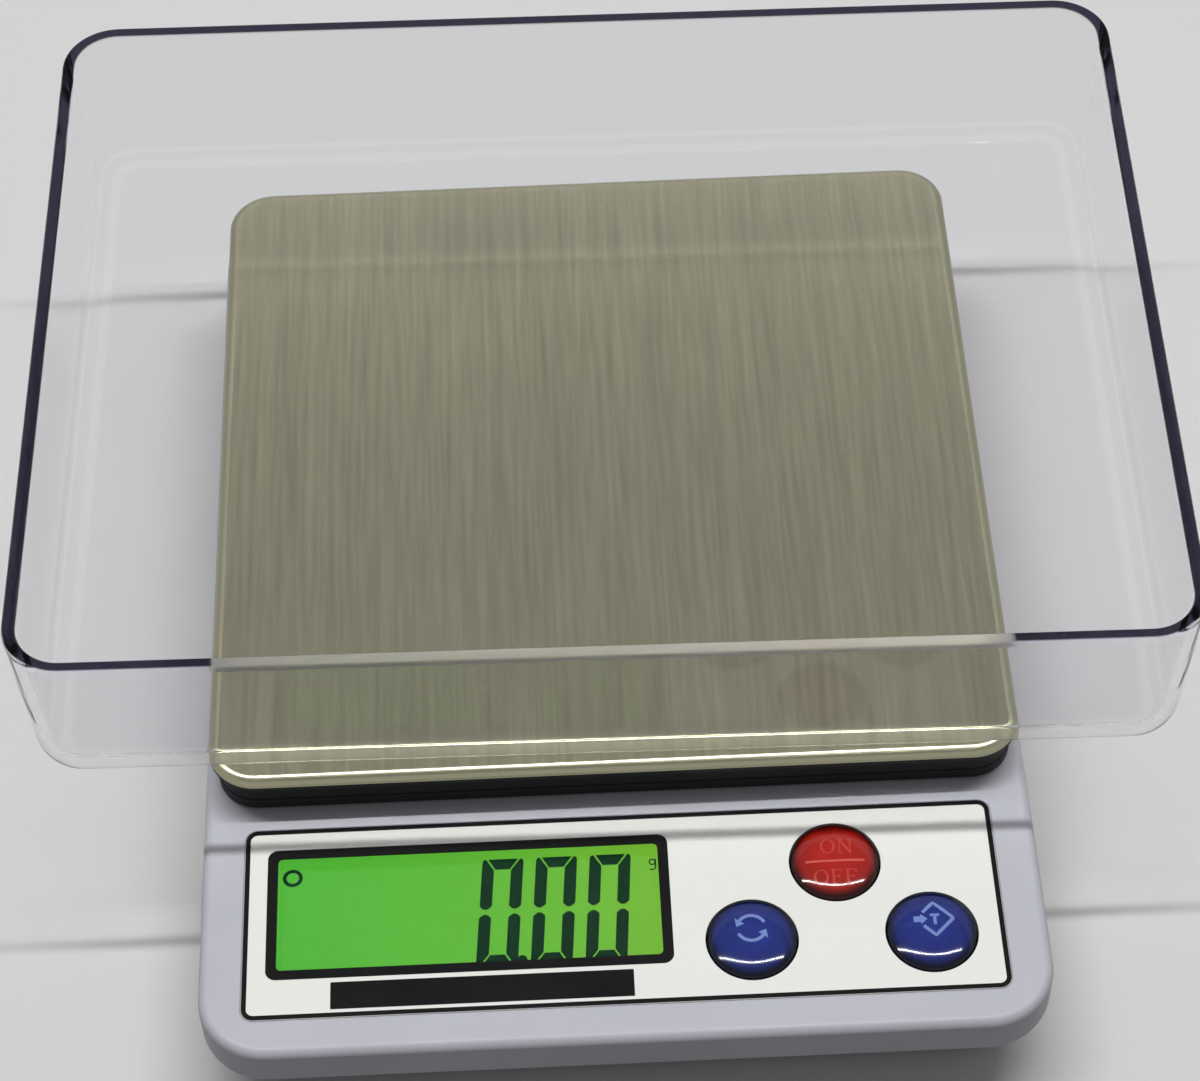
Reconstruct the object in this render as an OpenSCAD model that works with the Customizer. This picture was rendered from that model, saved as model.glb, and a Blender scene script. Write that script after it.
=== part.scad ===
// Bench-top digital precision scale with a clear loose weighing tray.
// Lengths are millimetres. +Z is up, the control panel faces -Y and the scale stands on z = 0.
// The origin is under the middle of the whole object: side to side, and front panel edge to tray back.

/* [Case] */
// Width of the case
body_w = 120; // [110:1:140]
// Depth of the case, front to back
body_l = 158.5; // [157:0.5:175]
// Radius of the upright corners of the case
body_r = 10; // [9.5:0.5:14]
// Height of the control panel above the table
deck_z = 19; // [19:0.5:26]
// Height of the upright side of the upper shell
lip_h = 6.7; // [5.5:0.1:7.5]
// Bevel round the top edge of the upper shell
top_bevel = 1.2; // [0.6:0.1:1.8]
// Wall of both shells
wall = 2; // [1.6:0.1:2.4]
// Thickness of the upper shell's top
deck_t = 2; // [1.8:0.1:2.2]
// Thickness of the lower shell's floor
floor_t = 2; // [1.8:0.1:2.2]
// How far the underside is drawn in from the seam
draw_in = 5.7; // [3:0.1:6.4]
// Step of the lower shell in from the upper shell at the seam
seam_step = 0.8; // [0.4:0.1:1.2]
// Height of the lower shell's tongue inside the upper shell
tongue_h = 1.4; // [1:0.1:1.8]

/* [Feet and case screws] */
// Height that the rubber feet stand out
foot_h = 2; // [1.5:0.1:2.5]
// Diameter of a rubber foot
foot_d = 10; // [8:0.5:12]
// Depth of a foot's seat in the floor
foot_seat = 0.8; // [0.5:0.1:1]
// Sideways place of the feet from the middle
foot_x = 45; // [42:0.5:47]
// Distance of the front feet behind the case's front
foot_front = 15; // [13:0.5:20]
// Distance of the rear feet before the case's back
foot_back = 28; // [26:0.5:32]
// Shank diameter of a case screw
screw_d = 2.9; // [2.5:0.1:3.1]
// Head diameter of a case screw
screw_head_d = 5.4; // [5:0.1:5.8]
// Head height of a case screw
screw_head_h = 1.8; // [1.4:0.1:2]
// Sideways place of the case screws from the middle
case_screw_x = 47; // [44:0.5:48]
// Distance of the front case screws behind the case's front
case_screw_front = 50; // [48:0.5:56]
// Distance of the rear case screws before the case's back
case_screw_back = 13; // [12.5:0.5:15]

/* [Control panel] */
// Width of the printed label
label_w = 107.7; // [104:0.1:110]
// Depth of the printed label
label_l = 31.2; // [30:0.1:32]
// Corner radius of the label
label_r = 1.8; // [1:0.1:4]
// Thickness of the label
label_t = 0.3; // [0.2:0.1:0.5]
// Distance of the label behind the case's front
label_front = 5.7; // [5:0.1:6.2]
// Width of the display window
lcd_w = 56.5; // [50:0.1:57]
// Depth of the display window
lcd_l = 20.4; // [16:0.1:21]
// Sideways place of the display from the label's middle
lcd_x = -21.8; // [-22:0.1:-20]
// Place of the display behind the label's middle
lcd_y = 1.4; // [0.8:0.1:1.8]
// Thickness of the clear window
lens_t = 1.4; // [1:0.1:1.6]
// Thickness of the display glass
glass_t = 2.2; // [1.6:0.1:2.6]
// Depth of the display glass below the panel surface
glass_drop = 2.7; // [2.6:0.1:3]
// Diameter of a button
button_d = 12.6; // [10:0.1:13]
// Sideways place of the upper button from the display window's edge
button_x = 24.3; // [23.5:0.05:25.1]
// Sideways distance of each lower button from the upper one
button_dx = 12.7; // [12:0.1:13]
// Distance of the buttons before and behind the label's middle
button_dy = 6.1; // [5.6:0.1:6.4]
// Height of a button's dome above the panel
button_rise = 0.95; // [0.8:0.05:1.4]
// Travel of a button
button_stroke = 0.5; // [0.3:0.05:0.6]

/* [Circuit board] */
// Thickness of the board
board_t = 1.6; // [1:0.2:1.6]
// Height of the board's upper face above the table
board_z = 9.6; // [9.2:0.1:9.8]
// Half width of the board
board_hw = 53; // [52.6:0.1:53.4]
// Depth of the board, front to back
board_l = 35; // [34.5:0.1:35.5]
// Distance of the board behind the case's front
board_front = 8; // [7.8:0.1:8.5]
// Shank diameter of a board screw
board_screw_d = 2; // [1.6:0.1:2.2]

/* [Load cell] */
// Length of the aluminium beam
beam_l = 70; // [68:1:74]
// Width of the beam
beam_w = 12.7; // [10:0.1:14]
// Height of the beam
beam_h = 8; // [7:0.1:8.2]
// Height of the beam's underside above the table
beam_z = 7; // [6.8:0.1:7.2]
// Diameter of the two bores that make the flexures
flex_d = 6; // [4:0.1:6.2]
// Distance of each flexure bore from the beam's middle
flex_x = 7; // [5:0.5:9]
// Shank diameter of the beam's screws
beam_screw_d = 3.8; // [3:0.1:4]
// Distance of the inner screw from the beam's middle
beam_screw_x = 23; // [22:0.5:24]
// Distance between the two screws at each end
beam_screw_pitch = 8; // [7.5:0.5:8.5]

/* [Weighing platform] */
// Height of the platform's top above the table
platform_z = 27; // [26.6:0.1:34]
// Gap from the platform's edge to the case's outline, seen from above
platform_inset = 1.25; // [1:0.05:2]
// Corner radius of the platform
platform_r = 7; // [5:0.5:9]
// Thickness of the steel plate
plate_t = 0.8; // [0.5:0.1:1]
// Depth of the steel plate's turned-down edge
plate_skirt = 2; // [2:0.1:3]
// Bevel on the steel plate's top edge
plate_bevel = 0.6; // [0.3:0.1:0.7]
// Thickness of the plastic support's top
support_t = 2; // [1.6:0.1:2.2]
// Gap between the plastic support and the case
deck_gap = 1.6; // [1.2:0.1:2]
// Give of the platform at full load
platform_stroke = 0.25; // [0.1:0.05:0.3]

/* [Weighing tray] */
// Width of the tray at its rim
tray_w = 167; // [150:0.5:180]
// Depth of the tray at its rim
tray_l = 127.8; // [124:0.1:140]
// Height of the tray
tray_h = 28.4; // [20:0.1:40]
// Corner radius of the rim
tray_r = 8.5; // [8:0.5:14]
// Wall of the tray
tray_wall = 2; // [1.4:0.1:2.4]
// Thickness of the tray's floor
tray_floor = 2; // [1.4:0.1:2.4]
// Slope of each wall from floor to rim
tray_draft = 1.1; // [0.8:0.1:2]
// Height of the bevel between the tray's floor and walls
tray_bevel = 3; // [1:0.1:3]
// Reach of that bevel under the floor
tray_bevel_in = 2.4; // [0.6:0.1:2.6]
// Place of the tray behind the platform's middle
tray_back = 4.5; // [0:0.1:6]
// Turn of the loose tray on the platform
tray_turn = -0.84; // [-2:0.01:2]

/* [Battery bay] */
// Diameter of a battery cell
cell_d = 10.5; // [10:0.1:10.5]
// Length of a battery cell without its nub
cell_l = 43.5; // [42:0.1:44]
// Height of a battery cell's nub
nub_h = 1; // [0.8:0.1:1.2]
// Thickness of the battery door
door_t = 1.9; // [1.6:0.1:1.9]
// Half width of the battery door
door_hw = 27; // [26.5:0.1:28]
// Reach of the door's side tongues
door_tongue = 1.2; // [0.8:0.1:1.6]
// Distance of the bay's rear wall before the case's back
bay_back = 12; // [11:0.1:13]

/* [Fits] */
// Gap round pieces that move
run_gap = 0.3; // [0.25:0.05:0.35]
// Gap round flat-sided pieces that slide
slide_gap = 0.2; // [0.15:0.05:0.25]
// Gap round fixed pieces that are dropped into a seat
seat_gap = 0.1; // [0.05:0.05:0.15]

/* [Hidden] */
$fn = 64;

// Small allowance that lets a cut run past a face
cut = 0.1;

// Platform and tray outlines, then the case's place along Y, so that the origin is under the middle
platform_s = body_w - 2 * platform_inset;
tray_half = (tray_l / 2 - tray_r) * cos(tray_turn) + (tray_w / 2 - tray_r) * abs(sin(tray_turn)) + tray_r;
tray_past = tray_back + tray_half - platform_s / 2 - platform_inset;
body_front = -(body_l + tray_past) / 2;
body_back = body_front + body_l;
body_mid = (body_front + body_back) / 2;
platform_y = body_back - platform_inset - platform_s / 2;
tray_y = platform_y + tray_back;

// Levels, from the table up
seam_z = deck_z - lip_h;
floor_z = foot_h + floor_t;
deck_under = deck_z - deck_t;
tub_h = seam_z - foot_h;

// Places on the control panel
label_y = body_front + label_front + label_l / 2;
lcd_cx = lcd_x;
lcd_cy = label_y + lcd_y;
button_cx = lcd_x + lcd_w / 2 + button_x;
buttons = [
  [button_cx, label_y + button_dy],
  [button_cx - button_dx, label_y - button_dy],
  [button_cx + button_dx, label_y - button_dy]
];
button_hole_d = button_d + 2 * run_gap;
button_side = 0.2;
flange_w = 1.2;
flange_d = button_d + 2 * flange_w;
flange_top = deck_under - run_gap;
flange_t = 1.3;
stem_d = 4;

// Display stack
lens_rim = 1.5;
glass_top = deck_z - glass_drop;
glass_under = glass_top - glass_t;
glass_rim = 1;
zebra_w = 2.4;
zebra_gap = 0.2;
glass_w = lcd_w + 2 * glass_rim;
glass_l = lcd_l + 2 * glass_rim + zebra_w + zebra_gap;
holder_wall = 1.3;
holder_lip = 1.2;
led_room = 3;
led_size = [led_room - seat_gap, 3, 1.6];

// Board, its screws and the switches
board_y0 = body_front + board_front;
board_back = board_y0 + board_l;
screw_side = 3.5;
screw_back = 3;
screw_front = 2.8;
board_screws_at = [
  [-board_hw + screw_side, board_back - screw_back],
  [0, board_back - screw_back],
  [board_hw - screw_side, board_back - screw_back],
  [button_cx, board_y0 + screw_front]
];
board_boss_d = 5;
board_head_d = 3.8;
board_head_h = 1.2;
board_screw_reach = 4.5;
switch_s = 6.2;
switch_h = 3.4;
stem_gap = 1;
stem_bottom = board_z + switch_h + stem_gap;
plunger_d = 3.5;
plunger_depth = 1.4;
connector = [7, 5, 4];
lead_back = 3.5;
connector_at = [-9, board_back - lead_back];

// Parts under the board: the bonded processor, the converter chip and the crystal
blob_d = [9, 13];
blob_h = 1.3;
blob_at = [-20, label_y];
converter = [10, 6, 1.5];
converter_at = [8, label_y - 2];
crystal = [8, 3, 2];
crystal_at = [-2, label_y - 10];

// Case screws and feet
case_screws_at = [
  [-case_screw_x, body_front + case_screw_front],
  [case_screw_x, body_front + case_screw_front],
  [-case_screw_x, body_back - case_screw_back],
  [case_screw_x, body_back - case_screw_back]
];
post_d = 8;
boss_d = 7;
post_h = 5;
post_top = floor_z + post_h;
head_recess = 0.6;
case_screw_reach = 6;
feet_at = [
  [-foot_x, body_front + foot_front],
  [foot_x, body_front + foot_front],
  [-foot_x, body_back - foot_back],
  [foot_x, body_back - foot_back]
];

// Load cell
pad_edge = 4;
beam_top = beam_z + beam_h;
fixed_screws = [-beam_screw_x - beam_screw_pitch, -beam_screw_x];
free_screws = [beam_screw_x, beam_screw_x + beam_screw_pitch];
pad_l = beam_screw_pitch + 2 * pad_edge;
pad_x = beam_screw_x + beam_screw_pitch / 2;
shim_t = 0.8;
flex_slot = 2;
beam_head_d = 6.8;
beam_head_h = 2;
beam_head_recess = 0.6;
seal_l = 26;
seal_t = 0.8;
seal_edge = 1;

// Weighing platform
plate_under = platform_z - plate_t;
support_z = deck_z + deck_gap;
support_s = platform_s - 2 * plate_t - 2 * seat_gap;
support_wall = 1.6;
support_top = plate_under;
support_under = support_top - support_t;
hub_under = support_z + 1.2;
rib_under = support_z + 0.8;
rib_t = 1.4;
stop_d = 6;
stop_side = 14.75;
stop_x = platform_s / 2 - stop_side;
stop_top = deck_z + 0.9;
stop_gap = platform_stroke + 0.25;
deck_hole = [pad_l + 5, beam_w + 4];
hub_l = pad_l + 4;

// Battery bay
contact_room = 2.6;
contact_t = 0.4;
leaf_s = 8;
leaf_w = 4;
leaf_tip = 0.6;
link_drop = 3;
link_h = 5;
bay_hw = (cell_l + nub_h) / 2 + contact_room + contact_t + 0.35;
cell_pitch = cell_d + 0.6;
bay_l = 2 * cell_pitch + 0.4;
bay_wall = 1.6;
bay_y1 = body_back - bay_back;
bay_y0 = bay_y1 - bay_l;
bay_roof_t = 1.2;
cell_z = foot_h + door_t + slide_gap + 0.3 + cell_d / 2;
bay_ceiling = cell_z + cell_d / 2 + 0.2;
door_y0 = bay_y0 - 1.5;
door_top = foot_h + door_t;
tongue_t = 0.8;
rail_hw = door_hw + door_tongue + slide_gap + 1.6;
rail_h = 1.6;
cells_y = [bay_y0 + 0.2 + cell_pitch / 2, bay_y0 + 0.2 + 1.5 * cell_pitch];

// Wires
wire_d = 1.2;
wires_x = -beam_l / 2 - 4;
wire_bend = 3;
ribbon_t = 1;
ribbon_w = 5;
ribbon_z = beam_top + seal_t / 2;

// Colours
plastic = [0.74, 0.74, 0.78];
black_plastic = [0.08, 0.08, 0.09];
steel = [0.56, 0.56, 0.50];
clear = [0.85, 0.85, 0.90, 0.45];
green = [0.40, 0.75, 0.22];
board_green = [0.05, 0.35, 0.18];
zinc = [0.70, 0.71, 0.73];

// Rectangle w by l with round corners, made of two bars and four circles
module round_rect(w, l, r) {
  square([w - 2 * r, l], center = true);
  square([w, l - 2 * r], center = true);
  for (x = [-1, 1], y = [-1, 1])
    translate([x * (w / 2 - r), y * (l / 2 - r)])
      circle(r);
}

// Slab w by l with upright round corners
module round_slab(w, l, h, r) {
  linear_extrude(h) round_rect(w, l, r);
}

// Slab whose four sides lean: w by l and corner radius r at the top, smaller by draw all round below
module lean_slab(w, l, h, r, draw) {
  for (x = [-1, 1], y = [-1, 1])
    translate([x * (w / 2 - r), y * (l / 2 - r), 0])
      cylinder(h = h, r1 = r - draw, r2 = r);
  translate([0, l / 2 - r, 0]) rotate([90, 0, 0])
    linear_extrude(l - 2 * r)
      polygon([[-w / 2 + draw, 0], [w / 2 - draw, 0], [w / 2, h], [-w / 2, h]]);
  translate([-w / 2 + r, 0, 0]) rotate([90, 0, 90])
    linear_extrude(w - 2 * r)
      polygon([[-l / 2 + draw, 0], [l / 2 - draw, 0], [l / 2, h], [-l / 2, h]]);
}

// Slab w by l with its top edge bevelled by c
module bevel_slab(w, l, h, r, c) {
  round_slab(w, l, h - c, r);
  translate([0, 0, h]) mirror([0, 0, 1]) lean_slab(w, l, c, r, c);
}

// Round wire of diameter d at height z: along -X from a to a quarter bend of radius r, then along -Y to b
module bent_wire(a, b, z, d, r) {
  translate([b[0] + r, a[1], z]) rotate([0, 90, 0]) cylinder(h = a[0] - b[0] - r, d = d, $fn = 24);
  translate([b[0] + r, a[1] - r, z]) rotate([0, 0, 90])
    rotate_extrude(angle = 90)
      translate([r, 0]) circle(d = d, $fn = 24);
  translate([b[0], a[1] - r, z]) rotate([90, 0, 0]) cylinder(h = a[1] - r - b[1], d = d, $fn = 24);
}

// Outer form of the lower shell, grown by g
module tub(g) {
  lean_slab(
    body_w - 2 * seam_step + 2 * g,
    body_l - 2 * seam_step + 2 * g,
    tub_h,
    body_r - seam_step + g,
    draw_in
  );
}

module upper_case() {
  color(plastic)
    difference() {
      union() {
        difference() {
          translate([0, body_mid, seam_z])
            bevel_slab(body_w, body_l, lip_h, body_r, top_bevel);
          translate([0, body_mid, seam_z - cut])
            round_slab(body_w - 2 * wall, body_l - 2 * wall, lip_h - deck_t + cut, body_r - wall);
        }
        upper_bosses();
        for (x = [-1, 1], y = [-1, 1])
          translate([x * stop_x, platform_y + y * stop_x, deck_under])
            cylinder(h = stop_top - deck_under, d = stop_d);
      }
      panel_cuts();
      upper_pilots();
      translate([pad_x, platform_y, deck_under - cut])
        round_slab(deck_hole[0], deck_hole[1], deck_t + 2 * cut, 2);
    }
}

// Bosses under the top that take the case screws and carry the circuit board
module upper_bosses() {
  for (p = case_screws_at)
    translate([p[0], p[1], post_top])
      cylinder(h = deck_under - post_top + cut, d = boss_d);
  for (p = board_screws_at)
    translate([p[0], p[1], board_z])
      cylinder(h = deck_under - board_z + cut, d = board_boss_d);
}

module upper_pilots() {
  for (p = case_screws_at)
    translate([p[0], p[1], post_top - cut])
      cylinder(h = case_screw_reach + 0.5 + cut, d = screw_d + 2 * seat_gap);
  for (p = board_screws_at)
    translate([p[0], p[1], board_z - cut])
      cylinder(h = board_screw_reach + 0.5 + cut, d = board_screw_d + 2 * seat_gap);
}

// Label recess, display opening with its seat for the window, and the button holes
module panel_cuts() {
  translate([0, label_y, deck_z - label_t])
    round_slab(label_w + 2 * seat_gap, label_l + 2 * seat_gap, label_t + cut, label_r + seat_gap);
  translate([lcd_cx, lcd_cy, deck_z - lens_t])
    round_slab(lcd_w + 2 * seat_gap, lcd_l + 2 * seat_gap, lens_t + cut, 1 + seat_gap);
  translate([lcd_cx, lcd_cy, deck_under - cut])
    round_slab(lcd_w - 2 * lens_rim, lcd_l - 2 * lens_rim, deck_t + cut, 1);
  for (p = buttons)
    translate([p[0], p[1], deck_under - cut])
      cylinder(h = deck_t + 2 * cut, d = button_hole_d);
}

module lower_case() {
  color(plastic)
    difference() {
      union() {
        lower_shell();
        lower_posts();
        bay_box();
      }
      lower_cuts();
      bay_cuts();
    }
}

// Drawn-in shell with a tongue that fits inside the upper shell
module lower_shell() {
  inner_w = body_w - 2 * seam_step - 2 * wall;
  inner_l = body_l - 2 * seam_step - 2 * wall;
  inner_r = body_r - seam_step - wall;
  tongue_w = body_w - 2 * wall - 2 * seat_gap;
  tongue_l = body_l - 2 * wall - 2 * seat_gap;
  difference() {
    union() {
      translate([0, body_mid, foot_h]) tub(0);
      translate([0, body_mid, seam_z - cut])
        round_slab(tongue_w, tongue_l, tongue_h + cut, body_r - wall - seat_gap);
    }
    translate([0, body_mid, floor_z])
      lean_slab(inner_w, inner_l, tub_h - floor_t, inner_r, draw_in * (tub_h - floor_t) / tub_h);
    translate([0, body_mid, seam_z - cut])
      round_slab(inner_w, inner_l, tongue_h + 3 * cut, inner_r);
  }
}

// Screw posts, foot seats' backing and the pedestal under the load cell
module lower_posts() {
  for (p = case_screws_at)
    translate([p[0], p[1], floor_z - cut])
      cylinder(h = post_top - floor_z + cut, d = post_d);
  translate([-pad_x - pad_l / 2, platform_y - beam_w / 2, floor_z - cut])
    cube([pad_l, beam_w, beam_z - shim_t - floor_z + cut]);
}

module lower_cuts() {
  for (p = feet_at)
    translate([p[0], p[1], foot_h - cut])
      cylinder(h = foot_seat + cut, d = foot_d + 2 * seat_gap);
  for (p = case_screws_at)
    translate([p[0], p[1], foot_h - cut]) {
      cylinder(h = head_recess + screw_head_h + cut, d = screw_head_d + 2 * run_gap);
      cylinder(h = post_top, d = screw_d + 2 * seat_gap);
    }
  for (x = fixed_screws)
    translate([x, platform_y, foot_h - cut]) {
      cylinder(h = beam_head_recess + beam_head_h + cut, d = beam_head_d + 2 * run_gap);
      cylinder(h = beam_z, d = beam_screw_d + 2 * seat_gap);
    }
}

// Battery bay's walls, roof and the rails beside the door
module bay_box() {
  w = 2 * (bay_hw + bay_wall);
  l = bay_l + 2 * bay_wall;
  translate([-w / 2, bay_y0 - bay_wall, floor_z - cut])
    cube([w, l, bay_ceiling + bay_roof_t - floor_z + cut]);
  translate([-rail_hw, door_y0 - 2, floor_z - cut])
    cube([2 * rail_hw, body_back - seam_step - draw_in - door_y0, rail_h + cut]);
}

module bay_cuts() {
  translate([-bay_hw, bay_y0, foot_h - cut])
    cube([2 * bay_hw, bay_l, bay_ceiling - foot_h + cut]);
  translate([-door_hw - slide_gap, door_y0 - slide_gap, foot_h - cut])
    cube([2 * (door_hw + slide_gap), body_l, door_t + slide_gap + cut]);
  translate([-door_hw - door_tongue - slide_gap, door_y0 - slide_gap, door_top - tongue_t - slide_gap])
    cube([2 * (door_hw + door_tongue + slide_gap), body_l, tongue_t + 2 * slide_gap]);
}

module rubber_feet() {
  color(black_plastic)
    for (p = feet_at)
      translate([p[0], p[1], 0]) {
        cylinder(h = 0.6, d1 = foot_d - 1.2, d2 = foot_d);
        translate([0, 0, 0.6])
          cylinder(h = foot_h + foot_seat - 0.6, d = foot_d);
      }
}

// Pan-head screw that points up, with its head's underside on z = 0
module pan_screw(head_d, head_h, shank_d, shank_l) {
  difference() {
    translate([0, 0, -head_h]) cylinder(h = head_h, d = head_d);
    for (a = [0, 90])
      rotate([0, 0, a])
        translate([-head_d * 0.3, -0.4, -head_h - cut])
          cube([head_d * 0.6, 0.8, head_h * 0.5 + cut]);
  }
  cylinder(h = shank_l, d = shank_d);
}

module case_screws() {
  z = foot_h + head_recess + screw_head_h;
  color(zinc)
    for (p = case_screws_at)
      translate([p[0], p[1], z])
        pan_screw(screw_head_d, screw_head_h, screw_d, post_top + case_screw_reach - z);
}

module panel_label() {
  color("whitesmoke")
    translate([0, 0, deck_z - label_t])
      difference() {
        translate([0, label_y, 0]) round_slab(label_w, label_l, label_t, label_r);
        translate([lcd_cx, lcd_cy, -cut])
          round_slab(lcd_w + 2 * seat_gap, lcd_l + 2 * seat_gap, label_t + 2 * cut, 1 + seat_gap);
        for (p = buttons)
          translate([p[0], p[1], -cut])
            cylinder(h = label_t + 2 * cut, d = button_hole_d);
      }
}

module lcd_window() {
  color(clear)
    translate([lcd_cx, lcd_cy, deck_z - lens_t])
      round_slab(lcd_w, lcd_l, lens_t, 1);
}

module lcd_glass() {
  color(green)
    translate([lcd_cx - glass_w / 2, lcd_cy - glass_l / 2, glass_under])
      cube([glass_w, glass_l, glass_t]);
}

module lcd_backlight() {
  color("white")
    translate([lcd_cx - glass_w / 2, lcd_cy - glass_l / 2, board_z])
      cube([glass_w - led_room - seat_gap, glass_l - zebra_w - 0.4, glass_under - board_z]);
}

module backlight_leds() {
  color("lightyellow")
    for (y = [0.3, 0.62])
      translate([lcd_cx + glass_w / 2 - led_room, lcd_cy - glass_l / 2 + glass_l * y, board_z])
        cube(led_size);
}

module lcd_holder() {
  w = glass_w + 2 * seat_gap;
  l = glass_l + 2 * seat_gap;
  color("white")
    translate([lcd_cx, lcd_cy, board_z])
      difference() {
        translate([-w / 2 - holder_wall, -l / 2 - holder_wall, 0])
          cube([w + 2 * holder_wall, l + 2 * holder_wall, deck_under - board_z]);
        translate([-w / 2, -l / 2, -cut])
          cube([w, l, glass_top - board_z + cut]);
        translate([-w / 2 + holder_lip, -l / 2 + holder_lip, -cut])
          cube([w - 2 * holder_lip, l - 2 * holder_lip, deck_under - board_z + 2 * cut]);
      }
}

module zebra_strip() {
  color("hotpink")
    translate([lcd_cx - glass_w / 2 + 2, lcd_cy + glass_l / 2 - zebra_w, board_z])
      cube([glass_w - 4, zebra_w, glass_under - board_z]);
}

module main_board() {
  color(board_green)
    difference() {
      translate([-board_hw, board_y0, board_z - board_t])
        cube([2 * board_hw, board_l, board_t]);
      for (p = board_screws_at)
        translate([p[0], p[1], board_z - board_t - cut])
          cylinder(h = board_t + 2 * cut, d = board_screw_d + 2 * seat_gap);
    }
}

module board_chips() {
  z = board_z - board_t;
  color(black_plastic) {
    translate([blob_at[0], blob_at[1], z - blob_h]) cylinder(h = blob_h, d1 = blob_d[0], d2 = blob_d[1]);
    translate([converter_at[0], converter_at[1], z - converter[2]]) cube(converter);
    translate([crystal_at[0], crystal_at[1], z - crystal[2]]) cube(crystal);
  }
}

module board_screws() {
  color(zinc)
    for (p = board_screws_at)
      translate([p[0], p[1], board_z - board_t])
        pan_screw(board_head_d, board_head_h, board_screw_d, board_t + board_screw_reach);
}

// White socket at the board's rear edge that takes the load cell's ribbon
module lead_connector() {
  color("ivory")
    translate([connector_at[0] - connector[0] / 2, connector_at[1] - connector[1] / 2, board_z])
      cube(connector);
}

module tact_switches() {
  color(black_plastic)
    for (p = buttons)
      translate([p[0], p[1], board_z])
        difference() {
          translate([-switch_s / 2, -switch_s / 2, 0])
            cube([switch_s, switch_s, switch_h]);
          translate([0, 0, switch_h - plunger_depth - button_stroke - run_gap])
            cylinder(h = switch_h, d = plunger_d + 2 * run_gap);
        }
}

// Switch plunger under button i, face to face with the button's stem
module plunger(i) {
  p = buttons[i];
  z = board_z + switch_h - plunger_depth;
  color("white")
    translate([p[0], p[1], z])
      cylinder(h = stem_bottom - z, d = plunger_d);
}

module power_plunger() {
  plunger(0);
}

module mode_plunger() {
  plunger(1);
}

module tare_plunger() {
  plunger(2);
}

// Domed button i with a flange that keeps it under the panel, and a stem down to its switch
module button(i, tint) {
  p = buttons[i];
  top = deck_z + button_rise;
  sag = button_rise - button_side;
  ball_r = (pow(button_d / 2, 2) + sag * sag) / (2 * sag);
  color(tint)
    translate([p[0], p[1], 0]) {
      intersection() {
        translate([0, 0, flange_top - flange_t])
          cylinder(h = top - flange_top + flange_t, d = button_d);
        translate([0, 0, top - ball_r]) sphere(ball_r, $fn = 128);
      }
      translate([0, 0, flange_top - flange_t]) cylinder(h = flange_t, d = flange_d);
      translate([0, 0, stem_bottom])
        cylinder(h = flange_top - stem_bottom, d = stem_d);
    }
}

module power_button() {
  button(0, [0.70, 0.12, 0.10]);
}

module mode_button() {
  button(1, [0.14, 0.19, 0.50]);
}

module tare_button() {
  button(2, [0.14, 0.19, 0.50]);
}

// Aluminium beam with two bores joined by a slot, which leave four thin flexures
module load_cell() {
  color([0.80, 0.81, 0.83])
    difference() {
      translate([-beam_l / 2, platform_y - beam_w / 2, beam_z])
        cube([beam_l, beam_w, beam_h]);
      translate([0, platform_y - beam_w / 2 - cut, beam_z + beam_h / 2]) {
        for (x = [-flex_x, flex_x])
          translate([x, 0, 0]) rotate([-90, 0, 0]) cylinder(h = beam_w + 2 * cut, d = flex_d);
        translate([-flex_x, 0, -flex_slot / 2])
          cube([2 * flex_x, beam_w + 2 * cut, flex_slot]);
      }
      for (x = fixed_screws)
        translate([x, platform_y, beam_z - cut])
          cylinder(h = beam_h + 2 * cut, d = beam_screw_d + 2 * seat_gap);
      for (x = free_screws)
        translate([x, platform_y, beam_z - cut])
          cylinder(h = beam_h + 2 * cut, d = beam_screw_d + 2 * run_gap);
    }
}

// Soft white seal over the strain gauges
module gauge_seal() {
  color("white")
    translate([-seal_l / 2, platform_y - beam_w / 2 + seal_edge, beam_top])
      cube([seal_l, beam_w - 2 * seal_edge, seal_t]);
}

// Flat ribbon from the seal to the board's socket
module gauge_leads() {
  x = connector_at[0] - ribbon_w / 2;
  y0 = connector_at[1];
  z = board_z + connector[2];
  color("firebrick") {
    translate([x, y0, ribbon_z]) cube([ribbon_w, platform_y - beam_w / 2 + seal_edge - y0, ribbon_t]);
    translate([x, y0 - ribbon_t, z]) cube([ribbon_w, ribbon_t, ribbon_z + ribbon_t - z]);
  }
}

module beam_shim() {
  color(zinc)
    difference() {
      translate([-pad_x - pad_l / 2, platform_y - beam_w / 2, beam_z - shim_t])
        cube([pad_l, beam_w, shim_t]);
      for (x = fixed_screws)
        translate([x, platform_y, beam_z - shim_t - cut])
          cylinder(h = shim_t + 2 * cut, d = beam_screw_d + 2 * seat_gap);
    }
}

module beam_screws() {
  z = foot_h + beam_head_recess + beam_head_h;
  color(zinc)
    for (x = fixed_screws)
      translate([x, platform_y, z])
        pan_screw(beam_head_d, beam_head_h, beam_screw_d, beam_top - 1.5 - z);
}

// Spacer that carries the platform on the beam's free end and passes through the case
module top_spacer() {
  z = beam_top + run_gap;
  color(zinc)
    difference() {
      translate([pad_x - pad_l / 2, platform_y - beam_w / 2, z])
        cube([pad_l, beam_w, hub_under - z]);
      for (x = free_screws)
        translate([x, platform_y, z - cut])
          cylinder(h = hub_under - z + 2 * cut, d = beam_screw_d + 2 * seat_gap);
    }
}

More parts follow.
